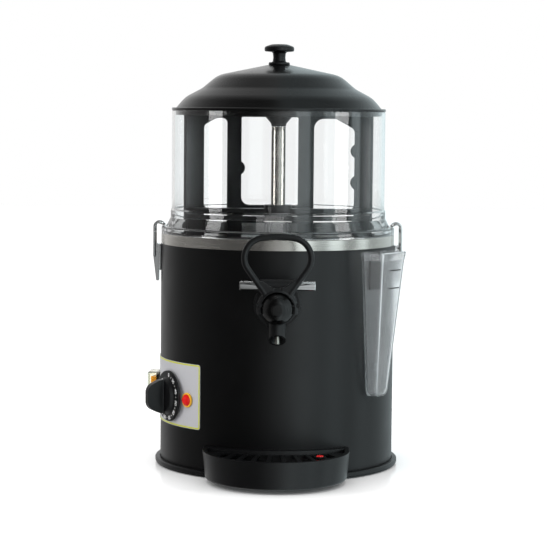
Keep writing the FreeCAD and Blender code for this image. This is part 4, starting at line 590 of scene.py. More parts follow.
def brushed_skin(name, colour, dark, smooth, rough, lines, **more):
    """A material on the brushed group."""
    return finish(name, "Brushed lines", {
        "Colour": colour, "Dark Colour": dark, "Smooth": smooth, "Rough": rough,
        "Lines per mm": lines,
    }, **more)


SKINS = {}


def make_skins(looks):
    """All finishes of the machine."""
    make_surface_group()
    make_brushed_group()
    black = shade(*looks.body_colour)
    SKINS["paint"] = plain_skin(
        "satin_black_paint", black, shade(0.006), 0.25, 0.34, 0.44, 1.4, bump=0.12, depth=0.03,
    )
    SKINS["mould"] = plain_skin(
        "moulded_black", shade(0.0035, 0.0036, 0.004), shade(0.011), 0.3, 0.34, 0.48, 3.2,
        bump=0.2, depth=0.03,
    )
    SKINS["gloss"] = plain_skin(
        "glossy_black", shade(0.002), shade(0.006), 0.2, 0.2, 0.3, 1.6, bump=0.05, depth=0.02,
    )
    SKINS["cage"] = plain_skin(
        "cage_black", shade(0.0015), shade(0.004), 0.3, 0.3, 0.46, 2.4, bump=0.1, depth=0.03,
        Specular_IOR_Level=0.3,
    )
    SKINS["band"] = brushed_skin(
        "brushed_band", shade(*looks.steel_colour), shade(0.5, 0.48, 0.44), 0.16, 0.28, 5.0,
        bump=0.06, depth=0.01, Metallic=0.92,
    )
    SKINS["column"] = brushed_skin(
        "drawn_tube", shade(0.5, 0.48, 0.44), shade(0.36, 0.34, 0.31), 0.2, 0.34, 4.0,
        bump=0.08, depth=0.01, Metallic=1.0,
    )
    SKINS["pan"] = brushed_skin(
        "rolled_steel", shade(0.6, 0.6, 0.59), shade(0.45), 0.22, 0.4, 3.0,
        bump=0.1, depth=0.01, Metallic=1.0,
    )
    SKINS["sheet"] = plain_skin(
        "plain_sheet", shade(0.5, 0.5, 0.49), shade(0.35), 0.6, 0.3, 0.5, 2.0,
        bump=0.1, depth=0.01, Metallic=1.0,
    )
    SKINS["chrome"] = plain_skin(
        "polished_steel", shade(0.78), shade(0.6), 0.5, 0.06, 0.16, 2.0,
        bump=0.03, depth=0.01, Metallic=1.0,
    )
    SKINS["zinc"] = plain_skin(
        "zinc_plate", shade(0.58, 0.57, 0.53), shade(0.42, 0.4, 0.34), 0.7, 0.28, 0.48, 4.0,
        bump=0.1, depth=0.02, Metallic=1.0,
    )
    SKINS["bowl"] = plain_skin(
        "clear_bowl", shade(*looks.bowl_colour), shade(0.96), 0.3, 0.0, 0.03, 0.6,
        bump=0.02, depth=0.01, Transmission_Weight=1.0, IOR=1.5,
    )
    SKINS["cup"] = plain_skin(
        "milky_clear", shade(0.93, 0.95, 0.96), shade(0.85), 0.4, 0.08, 0.22, 0.8,
        bump=0.04, depth=0.02, Transmission_Weight=0.93, IOR=1.42,
    )
    SKINS["sleeve"] = plain_skin(
        "cloudy_sleeve", shade(0.88, 0.9, 0.93), shade(0.75), 0.4, 0.12, 0.26, 1.2,
        bump=0.05, depth=0.02, Transmission_Weight=0.85, IOR=1.3,
    )
    SKINS["cover"] = plain_skin(
        "clear_cover", shade(0.97, 0.93, 0.8), shade(0.9), 0.4, 0.04, 0.14, 0.8,
        bump=0.03, depth=0.02, Transmission_Weight=1.0, IOR=1.42,
    )
    SKINS["white"] = plain_skin(
        "white_moulding", shade(0.78, 0.78, 0.76), shade(0.6, 0.58, 0.54), 0.4, 0.35, 0.5, 2.5,
        bump=0.1, depth=0.02,
    )
    SKINS["plate"] = plain_skin(
        "silver_film", shade(*looks.plate_colour), shade(0.4, 0.4, 0.39), 0.35, 0.34, 0.46, 5.0,
        bump=0.05, depth=0.01, Metallic=0.1,
    )
    SKINS["border"] = plain_skin(
        "yellow_print", shade(0.5, 0.53, 0.03), shade(0.42, 0.42, 0.06), 0.4, 0.3, 0.42, 5.0,
        bump=0.04, depth=0.01,
    )
    SKINS["amber"] = plain_skin(
        "amber_ring", shade(0.8, 0.42, 0.02), shade(0.6, 0.3, 0.03), 0.3, 0.2, 0.34, 2.5,
        bump=0.04, depth=0.01,
    )
    SKINS["ink"] = plain_skin(
        "white_print", shade(0.85), shade(0.7), 0.4, 0.4, 0.5, 6.0, bump=0.04, depth=0.01,
    )
    SKINS["dark_ink"] = plain_skin(
        "dark_print", shade(0.02), shade(0.06), 0.4, 0.4, 0.5, 6.0, bump=0.04, depth=0.01,
    )
    SKINS["red_lens"] = plain_skin(
        "red_lens", shade(0.55, 0.006, 0.006), shade(0.35, 0.004, 0.004), 0.5, 0.1, 0.2, 1.2,
        bump=0.05, depth=0.02, Emission_Color=(1.0, 0.02, 0.01, 1.0), Emission_Strength=0.12,
        Coat_Weight=0.6,
    )
    SKINS["red"] = plain_skin(
        "red_float", shade(0.62, 0.015, 0.015), shade(0.4, 0.02, 0.02), 0.4, 0.25, 0.4, 2.5,
        bump=0.08, depth=0.02,
    )
    SKINS["orange"] = plain_skin(
        "orange_rocker", shade(*looks.rocker_colour), shade(0.7, 0.3, 0.03), 0.3, 0.2, 0.32, 2.0,
        bump=0.06, depth=0.02,
    )
    SKINS["rubber"] = plain_skin(
        "rubber", shade(0.02), shade(0.07), 0.5, 0.6, 0.8, 2.0, bump=0.25, depth=0.05,
    )
    SKINS["motor"] = plain_skin(
        "grey_casting", shade(0.22, 0.23, 0.25), shade(0.32), 0.5, 0.42, 0.62, 1.2,
        bump=0.3, depth=0.08,
    )
    SKINS["ceramic"] = plain_skin(
        "thermostat_case", shade(0.6, 0.57, 0.48), shade(0.45, 0.42, 0.35), 0.5, 0.5, 0.68, 2.0,
        bump=0.15, depth=0.04,
    )


# Settings

def box_size(node, corner, axis):
    """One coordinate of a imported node's box, in millimetres."""
    return round(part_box(node)[corner][axis] / MM, 2)


def length(label, text, default):
    """A length property in millimetres."""
    return bpy.props.FloatProperty(name=label, description=text, default=default, min=0.0)


def colour(label, text, default):
    """A colour property."""
    return bpy.props.FloatVectorProperty(
        name=label, description=text, default=default, size=3, min=0.0, max=1.0, subtype="COLOR"
    )


class DispenserSizes(bpy.types.PropertyGroup):
    """Main sizes, in millimetres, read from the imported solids."""

    body_radius: length("Body radius", "Outer radius of the painted shell",
                        box_size("body_shell", 1, 0))
    body_top: length("Body top", "Height of the painted shell", box_size("body_shell", 1, 2))
    band_top: length("Band top", "Top of the bright band", box_size("water_tank", 1, 2))
    bowl_top: length("Bowl top", "Height of the bowl's rim", box_size("bowl", 1, 2))
    lid_radius: length("Lid radius", "Outer radius of the lid", box_size("lid", 1, 0))
    knob_top: length("Knob top", "Height of the whole machine", box_size("lid_knob", 1, 2))


class DispenserLooks(bpy.types.PropertyGroup):
    """Colours of the machine."""

    body_colour: colour("Body", "Paint of the shell", (0.0022, 0.0022, 0.0024))
    steel_colour: colour("Band", "Steel of the band", (0.74, 0.72, 0.68))
    bowl_colour: colour("Bowl", "Tint of the clear bowl", (0.985, 0.99, 0.99))
    plate_colour: colour("Plate", "Film of the control plate", (0.46, 0.46, 0.48))
    rocker_colour: colour("Rocker", "Switch rocker", (0.85, 0.36, 0.015))


class StudioSettings(bpy.types.PropertyGroup):
    """Camera and light."""

    distance: bpy.props.FloatProperty(
        name="Distance", description="Camera to the machine's axis", default=2.315, unit="LENGTH"
    )
    eye: bpy.props.FloatProperty(
        name="Eye height", description="Camera above the counter", default=0.407, unit="LENGTH"
    )
    tilt: bpy.props.FloatProperty(
        name="Tilt", description="Camera pitch below level",
        default=math.radians(4.693), subtype="ANGLE"
    )
    roll: bpy.props.FloatProperty(
        name="Roll", description="Camera roll", default=math.radians(0.5), subtype="ANGLE"
    )
    lens: bpy.props.FloatProperty(
        name="Lens", description="Focal length in millimetres", default=131.56
    )
    key_power: bpy.props.FloatProperty(
        name="Side light", description="Power of each side light", default=16.0, unit="POWER"
    )


# Body

def make_shell(sizes):
    """Painted shell with its vent holes."""
    radius = sizes.body_radius
    top = sizes.body_top
    shell = as_object("shell_skin", lathe([
        (radius - 1.0, 5.0), (radius, 5.0), (radius, top, 0.7), (radius - 3.8, top),
        (radius - 3.8, top - 1.0), (radius - 1.0, top - 1.0),
    ], steps=240))
    cutters = []
    for column in range(3):
        for row in range(4):
            height = 64.0 + 14.0 * (row + 0.5 * (column % 2))
            place = outward(radius - 10.0, 82.0 + 6.0 * column, height)
            cutters.append(drill(2.0, 0.0, 20.0, place, 20))
    for step in range(-2, 3):
        slot = slab(rectangle(-2.0, 60.0, 2.0, 94.0, 1.6), 0.0, 40.0)
        cutters.append(moved(moved(slot, shift(y=20.0 - radius)), turned("Z", BACK + 6.0 * step)))
    for azimuth, height, hole in (
        (0.0, TAP_Z, OUTLET_HOLE), (CUP_AZIMUTH, 122.0, 4.2), (GLAND_AZIMUTH, 34.0, 8.2),
    ):
        cutters.append(drill(hole, 0.0, 20.0, outward(radius - 10.0, azimuth, height)))
    for side in (-1, 1):
        middle = TAB_HALF * side
        slot = slab(rectangle(middle - 6.3, 17.85, middle + 6.3, 22.3), 0.0, 30.0)
        cutters.append(moved(slot, shift(y=-115.0)))
    carved(shell, *cutters)
    dressed(shell, SKINS["paint"], "machine", ["body_shell"], crease=24.0)


def make_tank(sizes):
    """Steel tank with the bright band, and the pan in it."""
    edge = sizes.body_radius - 0.2
    top = sizes.band_top
    tank = as_object("tank_and_band", lathe([
        (COLUMN_HOLE, 112.0), (127.0, 112.0, 8.0), (127.0, top - 1.0), (edge - 1.0, top - 1.0),
        (edge - 1.0, sizes.body_top), (edge, sizes.body_top), (edge, sizes.body_top + 5.0),
        (edge, top, 0.9), (126.0, top), (126.0, 113.0, 7.0),
        (COLUMN_HOLE, 113.0),
    ], steps=240))
    carved(tank, drill(OUTLET_HOLE, 0.0, 40.0, outward(105.0, 0.0, TAP_Z)))
    dressed(tank, SKINS["band"], "machine", ["water_tank"], crease=24.0)
    pan = as_object("drink_pan", lathe([
        (COLUMN_HOLE, 178.0), (112.8, 178.0, 5.0), (112.8, top, 0.8), (130.0, top),
        (130.0, top + 0.8), (112.0, top + 0.8, 1.6), (112.0, 178.8, 4.2), (COLUMN_HOLE, 178.8),
    ]))
    carved(pan, drill(OUTLET_HOLE, 0.0, 40.0, outward(90.0, 0.0, TAP_Z)))
    dressed(pan, SKINS["pan"], "machine", ["inner_pan"], crease=24.0)


def make_base():
    """Moulded base ring with its groove and round lip."""
    base = as_object("base_ring", lathe([
        (108.0, 1.0), (138.8, 1.0, 0.3), (138.8, 2.4, 0.3), (137.6, 2.4), (137.6, 3.0),
        (140.0, 3.0, 0.5), (140.0, 7.5, 1.8), (134.5, 7.5, 0.3), (134.5, 5.0), (132.9, 5.0),
        (132.9, 16.0), (130.9, 16.0), (130.9, 5.0), (108.0, 5.0),
    ], steps=240))
    cutters = []
    for azimuth in (45.0, 135.0, 225.0, 315.0):
        angle = math.radians(azimuth)
        x, y = FOOT_RING * math.sin(angle), FOOT_RING * math.cos(angle)
        cutters.append(prism(circle(x, y, 9.15, 40), 0.0, 3.6))
        cutters.append(prism(circle(x, y, 2.15, 24), 3.0, 8.0))
    carved(base, *cutters)
    dressed(base, SKINS["mould"], "machine", ["base_flange"], crease=24.0)


# Bowl, lid and stirrer

def make_bowl(sizes):
    """Clear bowl: clamped flange, sloped skirt, thick moulded ring and tall wall."""
    top = sizes.bowl_top
    bowl = as_object("clear_bowl", lathe([
        (123.8, 268.2), (130.3, 268.2), (130.3, 265.7), (134.0, 265.7, 0.6), (134.0, 273.7, 1.5),
        (128.5, 273.7, 1.2), (123.6, 284.0, 2.0), (123.6, 292.5, 1.0), (122.3, 294.0, 0.8),
        (122.3, top, 0.9), (119.3, top, 0.9), (119.3, 292.5, 2.0), (120.6, 284.0, 2.0),
        (123.8, 271.2, 1.0),
    ], steps=256, guard=0.35))
    dressed(bowl, SKINS["bowl"], "machine", ["bowl"], crease=40.0)


def make_lid(sizes):
    """Bell-shaped lid with its skirt, and the mushroom knob."""
    rim = sizes.lid_radius
    seat = sizes.bowl_top
    lid = as_object("bell_lid", lathe([
        (2.65, 456.7), (12.5, 456.7), (69.3, 444.7, 30.0), (87.3, 429.5, 20.0),
        (106.0, 419.2, 26.0), (116.5, 407.5, 1.0), (116.5, 400.5), (118.3, 400.5, 0.6),
        (118.3, seat), (rim, seat, 0.8), (rim, seat + 3.0, 1.3), (117.6, seat + 3.0, 1.4),
        (107.5, 421.0, 28.0), (88.0, 431.3, 22.0), (70.0, 446.5, 30.0), (12.5, 458.5),
        (2.65, 458.5),
    ], steps=256))
    dressed(lid, SKINS["gloss"], "lid_body", ["lid"], crease=30.0)
    top = sizes.knob_top
    knob = as_object("lid_grip", lathe([
        (2.5, 458.5), (12.5, 458.5, 0.8), (11.7, 461.5, 0.9), (7.6, 461.5, 2.2),
        (7.0, 467.0, 6.0), (7.6, 473.0, 2.4), (17.0, 474.0, 1.5), (17.0, top - 3.0, 2.6),
        (9.0, top, 12.0), (0.0, top), (0.0, 473.4), (2.5, 473.4),
    ], steps=96))
    dressed(knob, SKINS["mould"], "lid_body", ["lid_knob"], crease=38.0)


# Left and right edges of the cage's windows, and the bumps let into them

LEFT_WINDOW = (-88.5, -61.5)
CENTRE_WINDOW = (-44.5, 24.0)
RIGHT_WINDOW = (43.0, 90.5)
WINDOW_LOW = 286.0
WINDOW_HIGH = 397.0
BUMP_RADIUS = 9.0
BUMP_INSET = 4.6


def with_bump(points, edge, height):
    """A window outline with a shallow round bump let into one of its upright edges."""
    side = -1.0 if edge > 0 else 1.0
    half = math.sqrt(BUMP_RADIUS ** 2 - BUMP_INSET ** 2)
    swing = math.degrees(math.asin(half / BUMP_RADIUS))
    for i, here in enumerate(points):
        there = points[(i + 1) % len(points)]
        on_edge = abs(here.x - edge) < 0.4 and abs(there.x - edge) < 0.4
        low, high = sorted((here.y, there.y))
        if on_edge and low < height < high:
            way = 1.0 if there.y > here.y else -1.0
            arc = []
            for step in range(-6, 7):
                turn = math.radians(swing * step / 6)
                reach = BUMP_RADIUS * math.cos(turn) - BUMP_INSET
                rise = way * BUMP_RADIUS * math.sin(turn)
                arc.append(Vector((edge + side * reach, height + rise)))
            return points[:i + 1] + arc + points[i + 1:]
    return points


def make_stirrer():
    """Half-round cage with its windows, bars and collar; hub, column and riser."""
    cage = as_object("stirrer_cage", lathe([
        (106.0, 186.0, 0.8), (109.0, 186.0, 0.8), (109.0, 404.6, 0.8), (106.0, 404.6, 0.8),
    ], steps=160, start=90.0, sweep=180.0))
    edge, end = LEFT_WINDOW
    left = smooth_path([
        (edge, WINDOW_LOW + 6.0, 8.0), (edge + 12.0, WINDOW_LOW, 8.0), (end, WINDOW_LOW, 5.0),
        (end, WINDOW_HIGH, 6.0), (end - 12.0, WINDOW_HIGH, 6.0), (edge, WINDOW_HIGH - 8.0, 6.0),
    ])
    edge, end = CENTRE_WINDOW
    centre = with_bump(smooth_path([
        (edge, 293.0, 10.0), (end, 293.0, 1.5), (end, 398.5, 1.5), (edge, 398.5, 1.5),
    ]), edge, 337.6)
    edge, end = RIGHT_WINDOW
    right = smooth_path([
        (edge, WINDOW_LOW, 5.0), (end, WINDOW_LOW, 12.0), (end, WINDOW_HIGH - 12.0, 8.0),
        (end - 22.0, WINDOW_HIGH, 8.0), (edge, WINDOW_HIGH, 12.0),
    ])
    for height in (359.3, 322.1):
        right = with_bump(right, end, height)
    low = [
        smooth_path(rectangle(edge, 204.0, end, 262.0, 6.0))
        for edge, end in (LEFT_WINDOW, CENTRE_WINDOW, RIGHT_WINDOW)
    ]
    cutters = [
        moved(upright(prism(outline, 0.0, 120.0)), shift(y=130.0))
        for outline in (left, centre, right, *low)
    ]
    carved(cage, *cutters)
    dressed(cage, SKINS["cage"], "mixer_body", ["mixer"], 0.5, 28.0)
    bars = []
    for low_z in (399.6, 289.0):
        outline = smooth_path(rectangle(-107.5, -8.0, 107.5, 8.0, 1.2))
        bars.append(prism(outline, low_z, low_z + 5.0))
    bars.append(lathe([
        (8.6, 288.7), (16.0, 288.7, 1.0), (16.0, 298.3, 1.4), (8.6, 298.3),
    ], steps=SMALL_STEPS))
    bars.append(lathe([
        (11.1, 399.5), (15.0, 399.5), (15.0, 404.6, 0.8), (11.1, 404.6),
    ], steps=SMALL_STEPS))
    cross = as_object("stirrer_bars", joined(*bars))
    carved(cross, drill(8.6, 280.0, 300.0, steps=48), drill(11.05, 390.0, 410.0, steps=48))
    dressed(cross, SKINS["cage"], "mixer_body", bevel=0.6)
    hub = as_object("drive_funnel", lathe([
        (4.05, 388.3), (8.3, 388.3, 0.6), (8.8, 391.5, 4.0), (15.0, 398.8, 0.6), (15.0, 399.4),
        (11.0, 399.4), (11.0, 406.3, 1.5), (4.05, 406.3),
    ], steps=SMALL_STEPS))
    dressed(hub, SKINS["mould"], "mixer_body", ["drive_hub"])
    column = as_object("column", lathe([
        (6.2, 100.0), (8.2, 100.0), (8.2, 180.3), (15.0, 180.3, 0.6), (15.0, 183.3, 0.6),
        (8.2, 183.3), (8.2, 384.0, 0.3), (7.7, 384.6, 0.3), (7.7, 385.6, 0.3), (8.2, 386.2, 0.3),
        (8.2, 388.0, 0.8), (6.2, 388.0),
    ], steps=SMALL_STEPS))
    dressed(column, SKINS["column"], "machine", ["column_tube"])
    riser = as_object("riser", lathe([
        (COLUMN_HOLE, 183.3), (15.6, 183.3), (15.6, 287.4, 0.8), (COLUMN_HOLE, 287.4),
    ], steps=SMALL_STEPS))
    dressed(riser, SKINS["sleeve"], "machine", ["riser_sleeve"])


# Tap

def make_tap():
    """Ring nut, cast tap body, domed cap and the cross bar."""
    nut = as_object("ring_nut", lathe([
        (13.15, 0.0), (26.0, 0.0, 0.8), (26.0, 8.0, 1.8), (18.0, 8.0, 0.6), (17.4, 7.4, 0.3),
        (13.15, 7.4),
    ], steps=96))
    notches = []
    for i in range(12):
        angle = math.radians(30.0 * i)
        x, y = 27.2 * math.cos(angle), 27.2 * math.sin(angle)
        notches.append(prism(circle(x, y, 2.2, 20), -1.0, 9.0))
    carved(nut, *notches)
    nut.data.transform(outward(136.0, 0.0, TAP_Z))
    dressed(nut, SKINS["mould"], "machine", ["collar_nut"], 0.4)
    front = outward(0.0, 0.0, TAP_Z)
    barrel = moved(lathe([
        (0.0, 144.3), (22.0, 144.3, 0.8), (22.0, 149.3, 1.0), (15.0, 149.3, 1.0),
        (15.0, 165.0, 1.0), (17.5, 166.5, 1.0), (17.5, 183.0), (0.0, 183.0),
    ], steps=72), front)
    spout = moved(lathe([
        (6.8, 154.0), (9.2, 154.0, 0.7), (9.2, 190.0), (6.8, 190.0),
    ], steps=56), shift(y=SPOUT_Y))
    bonnet = moved(lathe([
        (0.0, 196.0), (8.8, 196.0), (8.8, 217.5, 2.0), (0.0, 217.5),
    ], steps=48), shift(y=SPOUT_Y))
    sleeve = moved(lathe([
        (5.5, 0.0), (7.5, 0.0, 0.6), (7.5, 38.5, 0.6), (5.5, 38.5),
    ], steps=48), along_x(-19.25, *CROSS_BAR))
    web = moved(slab([
        (-12.0, 204.0), (12.0, 204.0), (14.0, 212.6), (-14.0, 212.6),
    ], 0.0, 10.0), shift(y=-153.0))
    body = as_object("tap_casting", joined(barrel, spout, bonnet, sleeve, web))
    moulded(body, 0.5, 4)
    slope = math.degrees(math.atan2(13.5, 18.4))
    mouth = prism(smooth_path(rectangle(-20.0, 0.0, 20.0, 40.0)), 0.0, 20.0)
    moved(mouth, shift(0.0, -164.3, 154.0) @ turned("X", 180.0 - slope))
    socket = drill(13.15, 143.0, 146.4, front, 48)
    way = drill(9.0, 143.0, 169.0, front, 48)
    room = drill(14.0, 168.0, 184.0, front, 56)
    bore = drill(6.8, 150.0, 196.0, shift(y=SPOUT_Y), 48)
    carved(body, mouth, socket, way, room, bore)
    dressed(body, SKINS["mould"], "machine", ["tap_body"], crease=40.0)
    cap = as_object("tap_dome", moved(lathe([
        (14.0, 0.0), (17.5, 0.0), (17.5, 4.0, 1.0), (16.3, 10.7, 9.0), (10.9, 18.4, 8.0),
        (6.6, 20.0, 1.2), (6.3, 22.0, 1.0), (0.0, 22.0), (0.0, 16.5), (7.0, 16.5), (14.0, 7.0),
    ], steps=96), outward(183.15, 0.0, TAP_Z)))
    carved(cap, drill(2.55, -26.0, 26.0, along_x(0.0, LEVER_Y, 200.0), 24))
    dressed(cap, SKINS["gloss"], "machine", ["tap_cap"], crease=45.0)
    bar = as_object("cross_bar", moved(lathe([
        (0.0, 0.0), (5.45, 0.0, 0.9), (5.45, 82.0, 0.9), (0.0, 82.0),
    ], steps=SMALL_STEPS), along_x(-41.0, *CROSS_BAR)))
    dressed(bar, SKINS["chrome"], "cross_bar", ["tap_cross_bar"])


def make_lever():
    """Loop handle run into its web and the fork that straddles the cap."""
    side = [(13.0, 212.0), (39.0, 248.5), (28.0, 270.5)]
    points = [(-x, LEVER_Y, z) for x, z in side]
    points.append((0.0, LEVER_Y, 273.6))
    points += [(x, LEVER_Y, z) for x, z in reversed(side)]
    loop = rod(points, [21.0, 21.0, 60.0, 21.0, 21.0], 3.4)
    web = moved(slab([
        (-14.0, 204.0), (14.0, 204.0), (20.0, 224.5), (16.5, 226.0), (7.25, 219.6, 6.0),
        (4.25, 219.6), (4.25, 213.2), (-4.25, 213.2), (-4.25, 219.6), (-7.25, 219.6, 6.0),
        (-16.5, 226.0), (-20.0, 224.5),
    ], 0.0, 6.0), shift(y=LEVER_Y + 3.0))
    ring = moved(lathe([
        (18.2, 0.0), (22.4, 0.0, 1.0), (22.3, 4.2, 2.5), (18.9, 8.0, 0.8), (18.2, 8.0),
    ], steps=96), outward(185.0, 0.0, TAP_Z))
    lever = as_object("loop_lever", joined(loop, web, ring))
    moulded(lever, 0.55, 4)
    below = prism(smooth_path(rectangle(-30.0, -200.0, 30.0, -176.0)), 160.0, 190.5)
    room = drill(18.2, 180.0, 198.0, outward(0.0, 0.0, TAP_Z), 96)
    carved(lever, below, room)
    dressed(lever, SKINS["mould"], "lever_body", ["tap_lever"], crease=45.0)


# Controls

PLATE_RADIUS = 134.35
PLATE_AZIMUTH = -72.0
PLATE_SWEEP = 66.0
PLATE_LOW = 52.0
PLATE_HIGH = 124.5
PLATE_ROUND = 3.0


def plate_outline(inset):
    """Corners of the control plate, drawn flat about its own middle."""
    half = math.radians(PLATE_SWEEP) * PLATE_RADIUS / 2
    return smooth_path(rectangle(
        inset - half, PLATE_LOW + inset, half - inset, PLATE_HIGH - inset,
        max(PLATE_ROUND - inset, 0.8),
    ))


def make_plate():
    """Curved film plate with its printed border."""
    spin = turned("Z", PLATE_AZIMUTH)
    sheet = wrapped(upright(prism(plate_outline(0.0), 0.0, 0.7)), PLATE_RADIUS)
    plate = as_object("control_film", moved(sheet, spin))
    opening = prism(smooth_path(rectangle(-11.6, -7.1, 11.6, 7.1)), 0.0, 20.0)
    carved(
        plate,
        drill(6.0, 0.0, 20.0, outward(125.0, *DIAL_SPOT)),
        drill(6.2, 0.0, 20.0, outward(125.0, *LAMP_SPOT)),
        moved(opening, outward(125.0, *SWITCH_SPOT)),
    )
    dressed(plate, SKINS["plate"], "machine", ["control_plate"], crease=24.0)
    line = band(plate_outline(0.5), plate_outline(2.0), 0.68, 0.78)
    border = as_object("plate_border", moved(wrapped(upright(line), PLATE_RADIUS), spin))
    dressed(border, SKINS["border"], "machine", crease=24.0)


def make_numbers(marks, radius, size):
    """Flat numbers set round a dial, in its own plane."""
    texts = []
    for label, degrees in marks:
        text = bpy.data.curves.new("number", "FONT")
        text.body = label
        text.size = size * MM
        text.align_x = "CENTER"
        text.align_y = "CENTER"
        text.extrude = 0.06 * MM
        thing = bpy.data.objects.new("number", text)
        bpy.context.scene.collection.objects.link(thing)
        bpy.context.view_layer.update()
        graph = bpy.context.evaluated_depsgraph_get()
        mesh = bpy.data.meshes.new_from_object(thing.evaluated_get(graph))
        solid = bmesh.new()
        solid.from_mesh(mesh)
        angle = math.radians(degrees)
        spot = Vector((radius * math.sin(angle), radius * math.cos(angle), 0.0)) * MM
        moved(solid, Matrix.Translation(spot) @ Matrix.Rotation(-angle, 4, "Z"))
        texts.append(solid)
        bpy.data.objects.remove(thing)
        bpy.data.meshes.remove(mesh)
    return joined(*texts)


def make_dial():
    """Winged dial with its printed scale."""
    place = outward(136.6, *DIAL_SPOT)
    skirt = lathe([
        (0.0, 0.0), (28.7, 0.0, 0.6), (28.7, 3.2, 1.4), (20.8, 3.8, 0.6), (18.5, 9.2, 1.5),
        (0.0, 9.2),
    ], steps=128)
    wing = prism(smooth_path([
        (-19.5, 6.2), (19.5, 6.2), (18.5, 14.2, 5.0), (12.1, 28.2, 11.0), (-12.1, 28.2, 11.0),
        (-18.5, 14.2, 5.0),
    ]), -4.5, 4.5)
    on_edge = Matrix(((0, 0, 1, 0), (1, 0, 0, 0), (0, 1, 0, 0), (0, 0, 0, 1)))
    moved(wing, on_edge)
    dial = as_object("winged_dial", joined(skirt, wing))
    moulded(dial, 0.5, 3)
    carved(dial, drill(3.05, -1.0, 10.5, steps=32))
    dial.data.transform(place)
    dressed(dial, SKINS["mould"], "dial", ["thermostat_knob"], crease=45.0)
    labels = ("0", "30", "40", "50", "60", "70", "80", "90")
    marks = [(label, 12.0 + 30.0 * i) for i, label in enumerate(labels)]
    dots = []
    for i in range(len(labels) - 1):
        turn = math.radians(27.0 + 30.0 * i)
        x, y = 24.4 * math.sin(turn), 24.4 * math.cos(turn)
        dots.append(prism(circle(x, y, 0.6, 14), 0.0, 0.06))
    numbers = moved(joined(make_numbers(marks, 24.6, 6.0), *dots), place @ shift(z=3.75))
    dressed(as_object("dial_numbers", numbers), SKINS["ink"], "dial")
    line = prism(smooth_path(rectangle(-0.5, 13.0, 0.5, 20.0, 0.3)), 0.0, 0.3)
    pointer = as_object("dial_pointer", moved(line, place @ shift(z=9.1)))
    dressed(pointer, SKINS["ink"], "dial")


def make_lamp():
    """Indicator lamp with its ring."""
    place = outward(135.2, *LAMP_SPOT)
    ring = as_object("lamp_ring", moved(lathe([
        (4.8, -16.0), (6.0, -16.0), (6.0, 0.0), (8.2, 0.0, 0.4), (8.2, 2.0, 0.9), (6.5, 2.0, 0.2),
        (6.5, 0.8), (4.8, 0.8),
    ], steps=SMALL_STEPS), place))
    dressed(ring, SKINS["amber"], "machine", ["lamp_bezel"])
    lens = as_object("lamp_dome", moved(lathe([
        (0.0, 0.8), (6.4, 0.8), (6.4, 2.4, 0.6), (3.6, 5.4, 4.0), (0.0, 5.4),
    ], steps=SMALL_STEPS), place))
    dressed(lens, SKINS["red_lens"], "machine", ["lamp_lens"], crease=50.0)


def make_switch():
    """Rocker switch under its clear splash cover."""
    place = outward(136.05, *SWITCH_SPOT)
    flange = prism(smooth_path(rectangle(-14.5, -10.0, 14.5, 10.0, 2.0)), 0.0, 2.5)
    well = prism(smooth_path(rectangle(-11.5, -7.0, 11.5, 7.0, 0.5)), -18.0, 0.5)
    switch = as_object("switch_housing", joined(flange, well))
    room = prism(smooth_path(rectangle(-10.3, -5.8, 10.3, 5.8, 0.5)), -16.8, 4.0)
    carved(switch, room)
    switch.data.transform(place)
    dressed(switch, SKINS["mould"], "machine", ["switch_frame"], 0.3)
    outline = smooth_path([
        (-9.5, 1.0), (-4.75, -2.5), (4.75, -2.5), (9.5, 1.0), (8.9, 9.3, 0.8), (0.0, 7.1, 20.0),
        (-8.9, 6.7, 0.8),
    ])
    rocker = moved(upright(prism(outline, -5.4, 5.4)), Matrix.Diagonal((1, -1, 1, 1)))
    piece = as_object("orange_rocker", tidy(moved(rocker, place)))
    dressed(piece, SKINS["orange"], "rocker", ["switch_rocker"], 0.4)
    outer = smooth_path(rectangle(-15.85, -11.35, 15.85, 11.35, 3.0))
    inner = smooth_path(rectangle(-14.65, -10.15, 14.65, 10.15, 2.0))
    rings = [
        [(p.x, p.y, 0.0) for p in outer], [(p.x, p.y, 11.4) for p in outer],
        [(p.x * 0.95, p.y * 0.93, 12.7) for p in outer],
    ]
    shell = bmesh.new()
    loops = [[shell.verts.new(Vector(p) * MM) for p in ring] for ring in rings]
    loops += [
        [shell.verts.new(Vector((p.x * k, p.y * k, z)) * MM) for p in inner]
        for z, k in ((11.5, 0.97), (0.0, 1.0))
    ]
    count = len(outer)
    for number in (0, 1, 3):
        here, there = loops[number], loops[number + 1]
        for i in range(count):
            k = (i + 1) % count
            shell.faces.new((here[i], here[k], there[k], there[i]))
    for i in range(count):
        k = (i + 1) % count
        shell.faces.new((loops[4][i], loops[4][k], loops[0][k], loops[0][i]))
    shell.faces.new(loops[2])
    shell.faces.new(list(reversed(loops[3])))
    cover = as_object("splash_cover", moved(tidy(shell), place))
    dressed(cover, SKINS["cover"], "machine", ["switch_cover"], crease=40.0)


# Water cup

CUP_BACK = 134.6
CUP_BOTTOM = 89.0
CUP_HEIGHT = 162.0


def cup_ring(width, depth, inset, height, draw_in=0.0):
    """A rounded rectangle of the cup at a height, its back against the shell."""
    half = width / 2 - inset - draw_in
    near = -CUP_BACK - inset
    far = -CUP_BACK - depth + inset
    bend = max(5.0 - inset, 1.5)
    outline = smooth_path([(half, near, 1.0), (-half, near, 1.0), (-half, far, bend), (half, far, bend)])
    return [(p.x, p.y, height) for p in outline]


def cup_size(height):
    """Width and depth of the cup at a height."""
    part = (height - CUP_BOTTOM) / CUP_HEIGHT
    return 27.0 + 23.0 * part, 12.5 + 14.5 * part


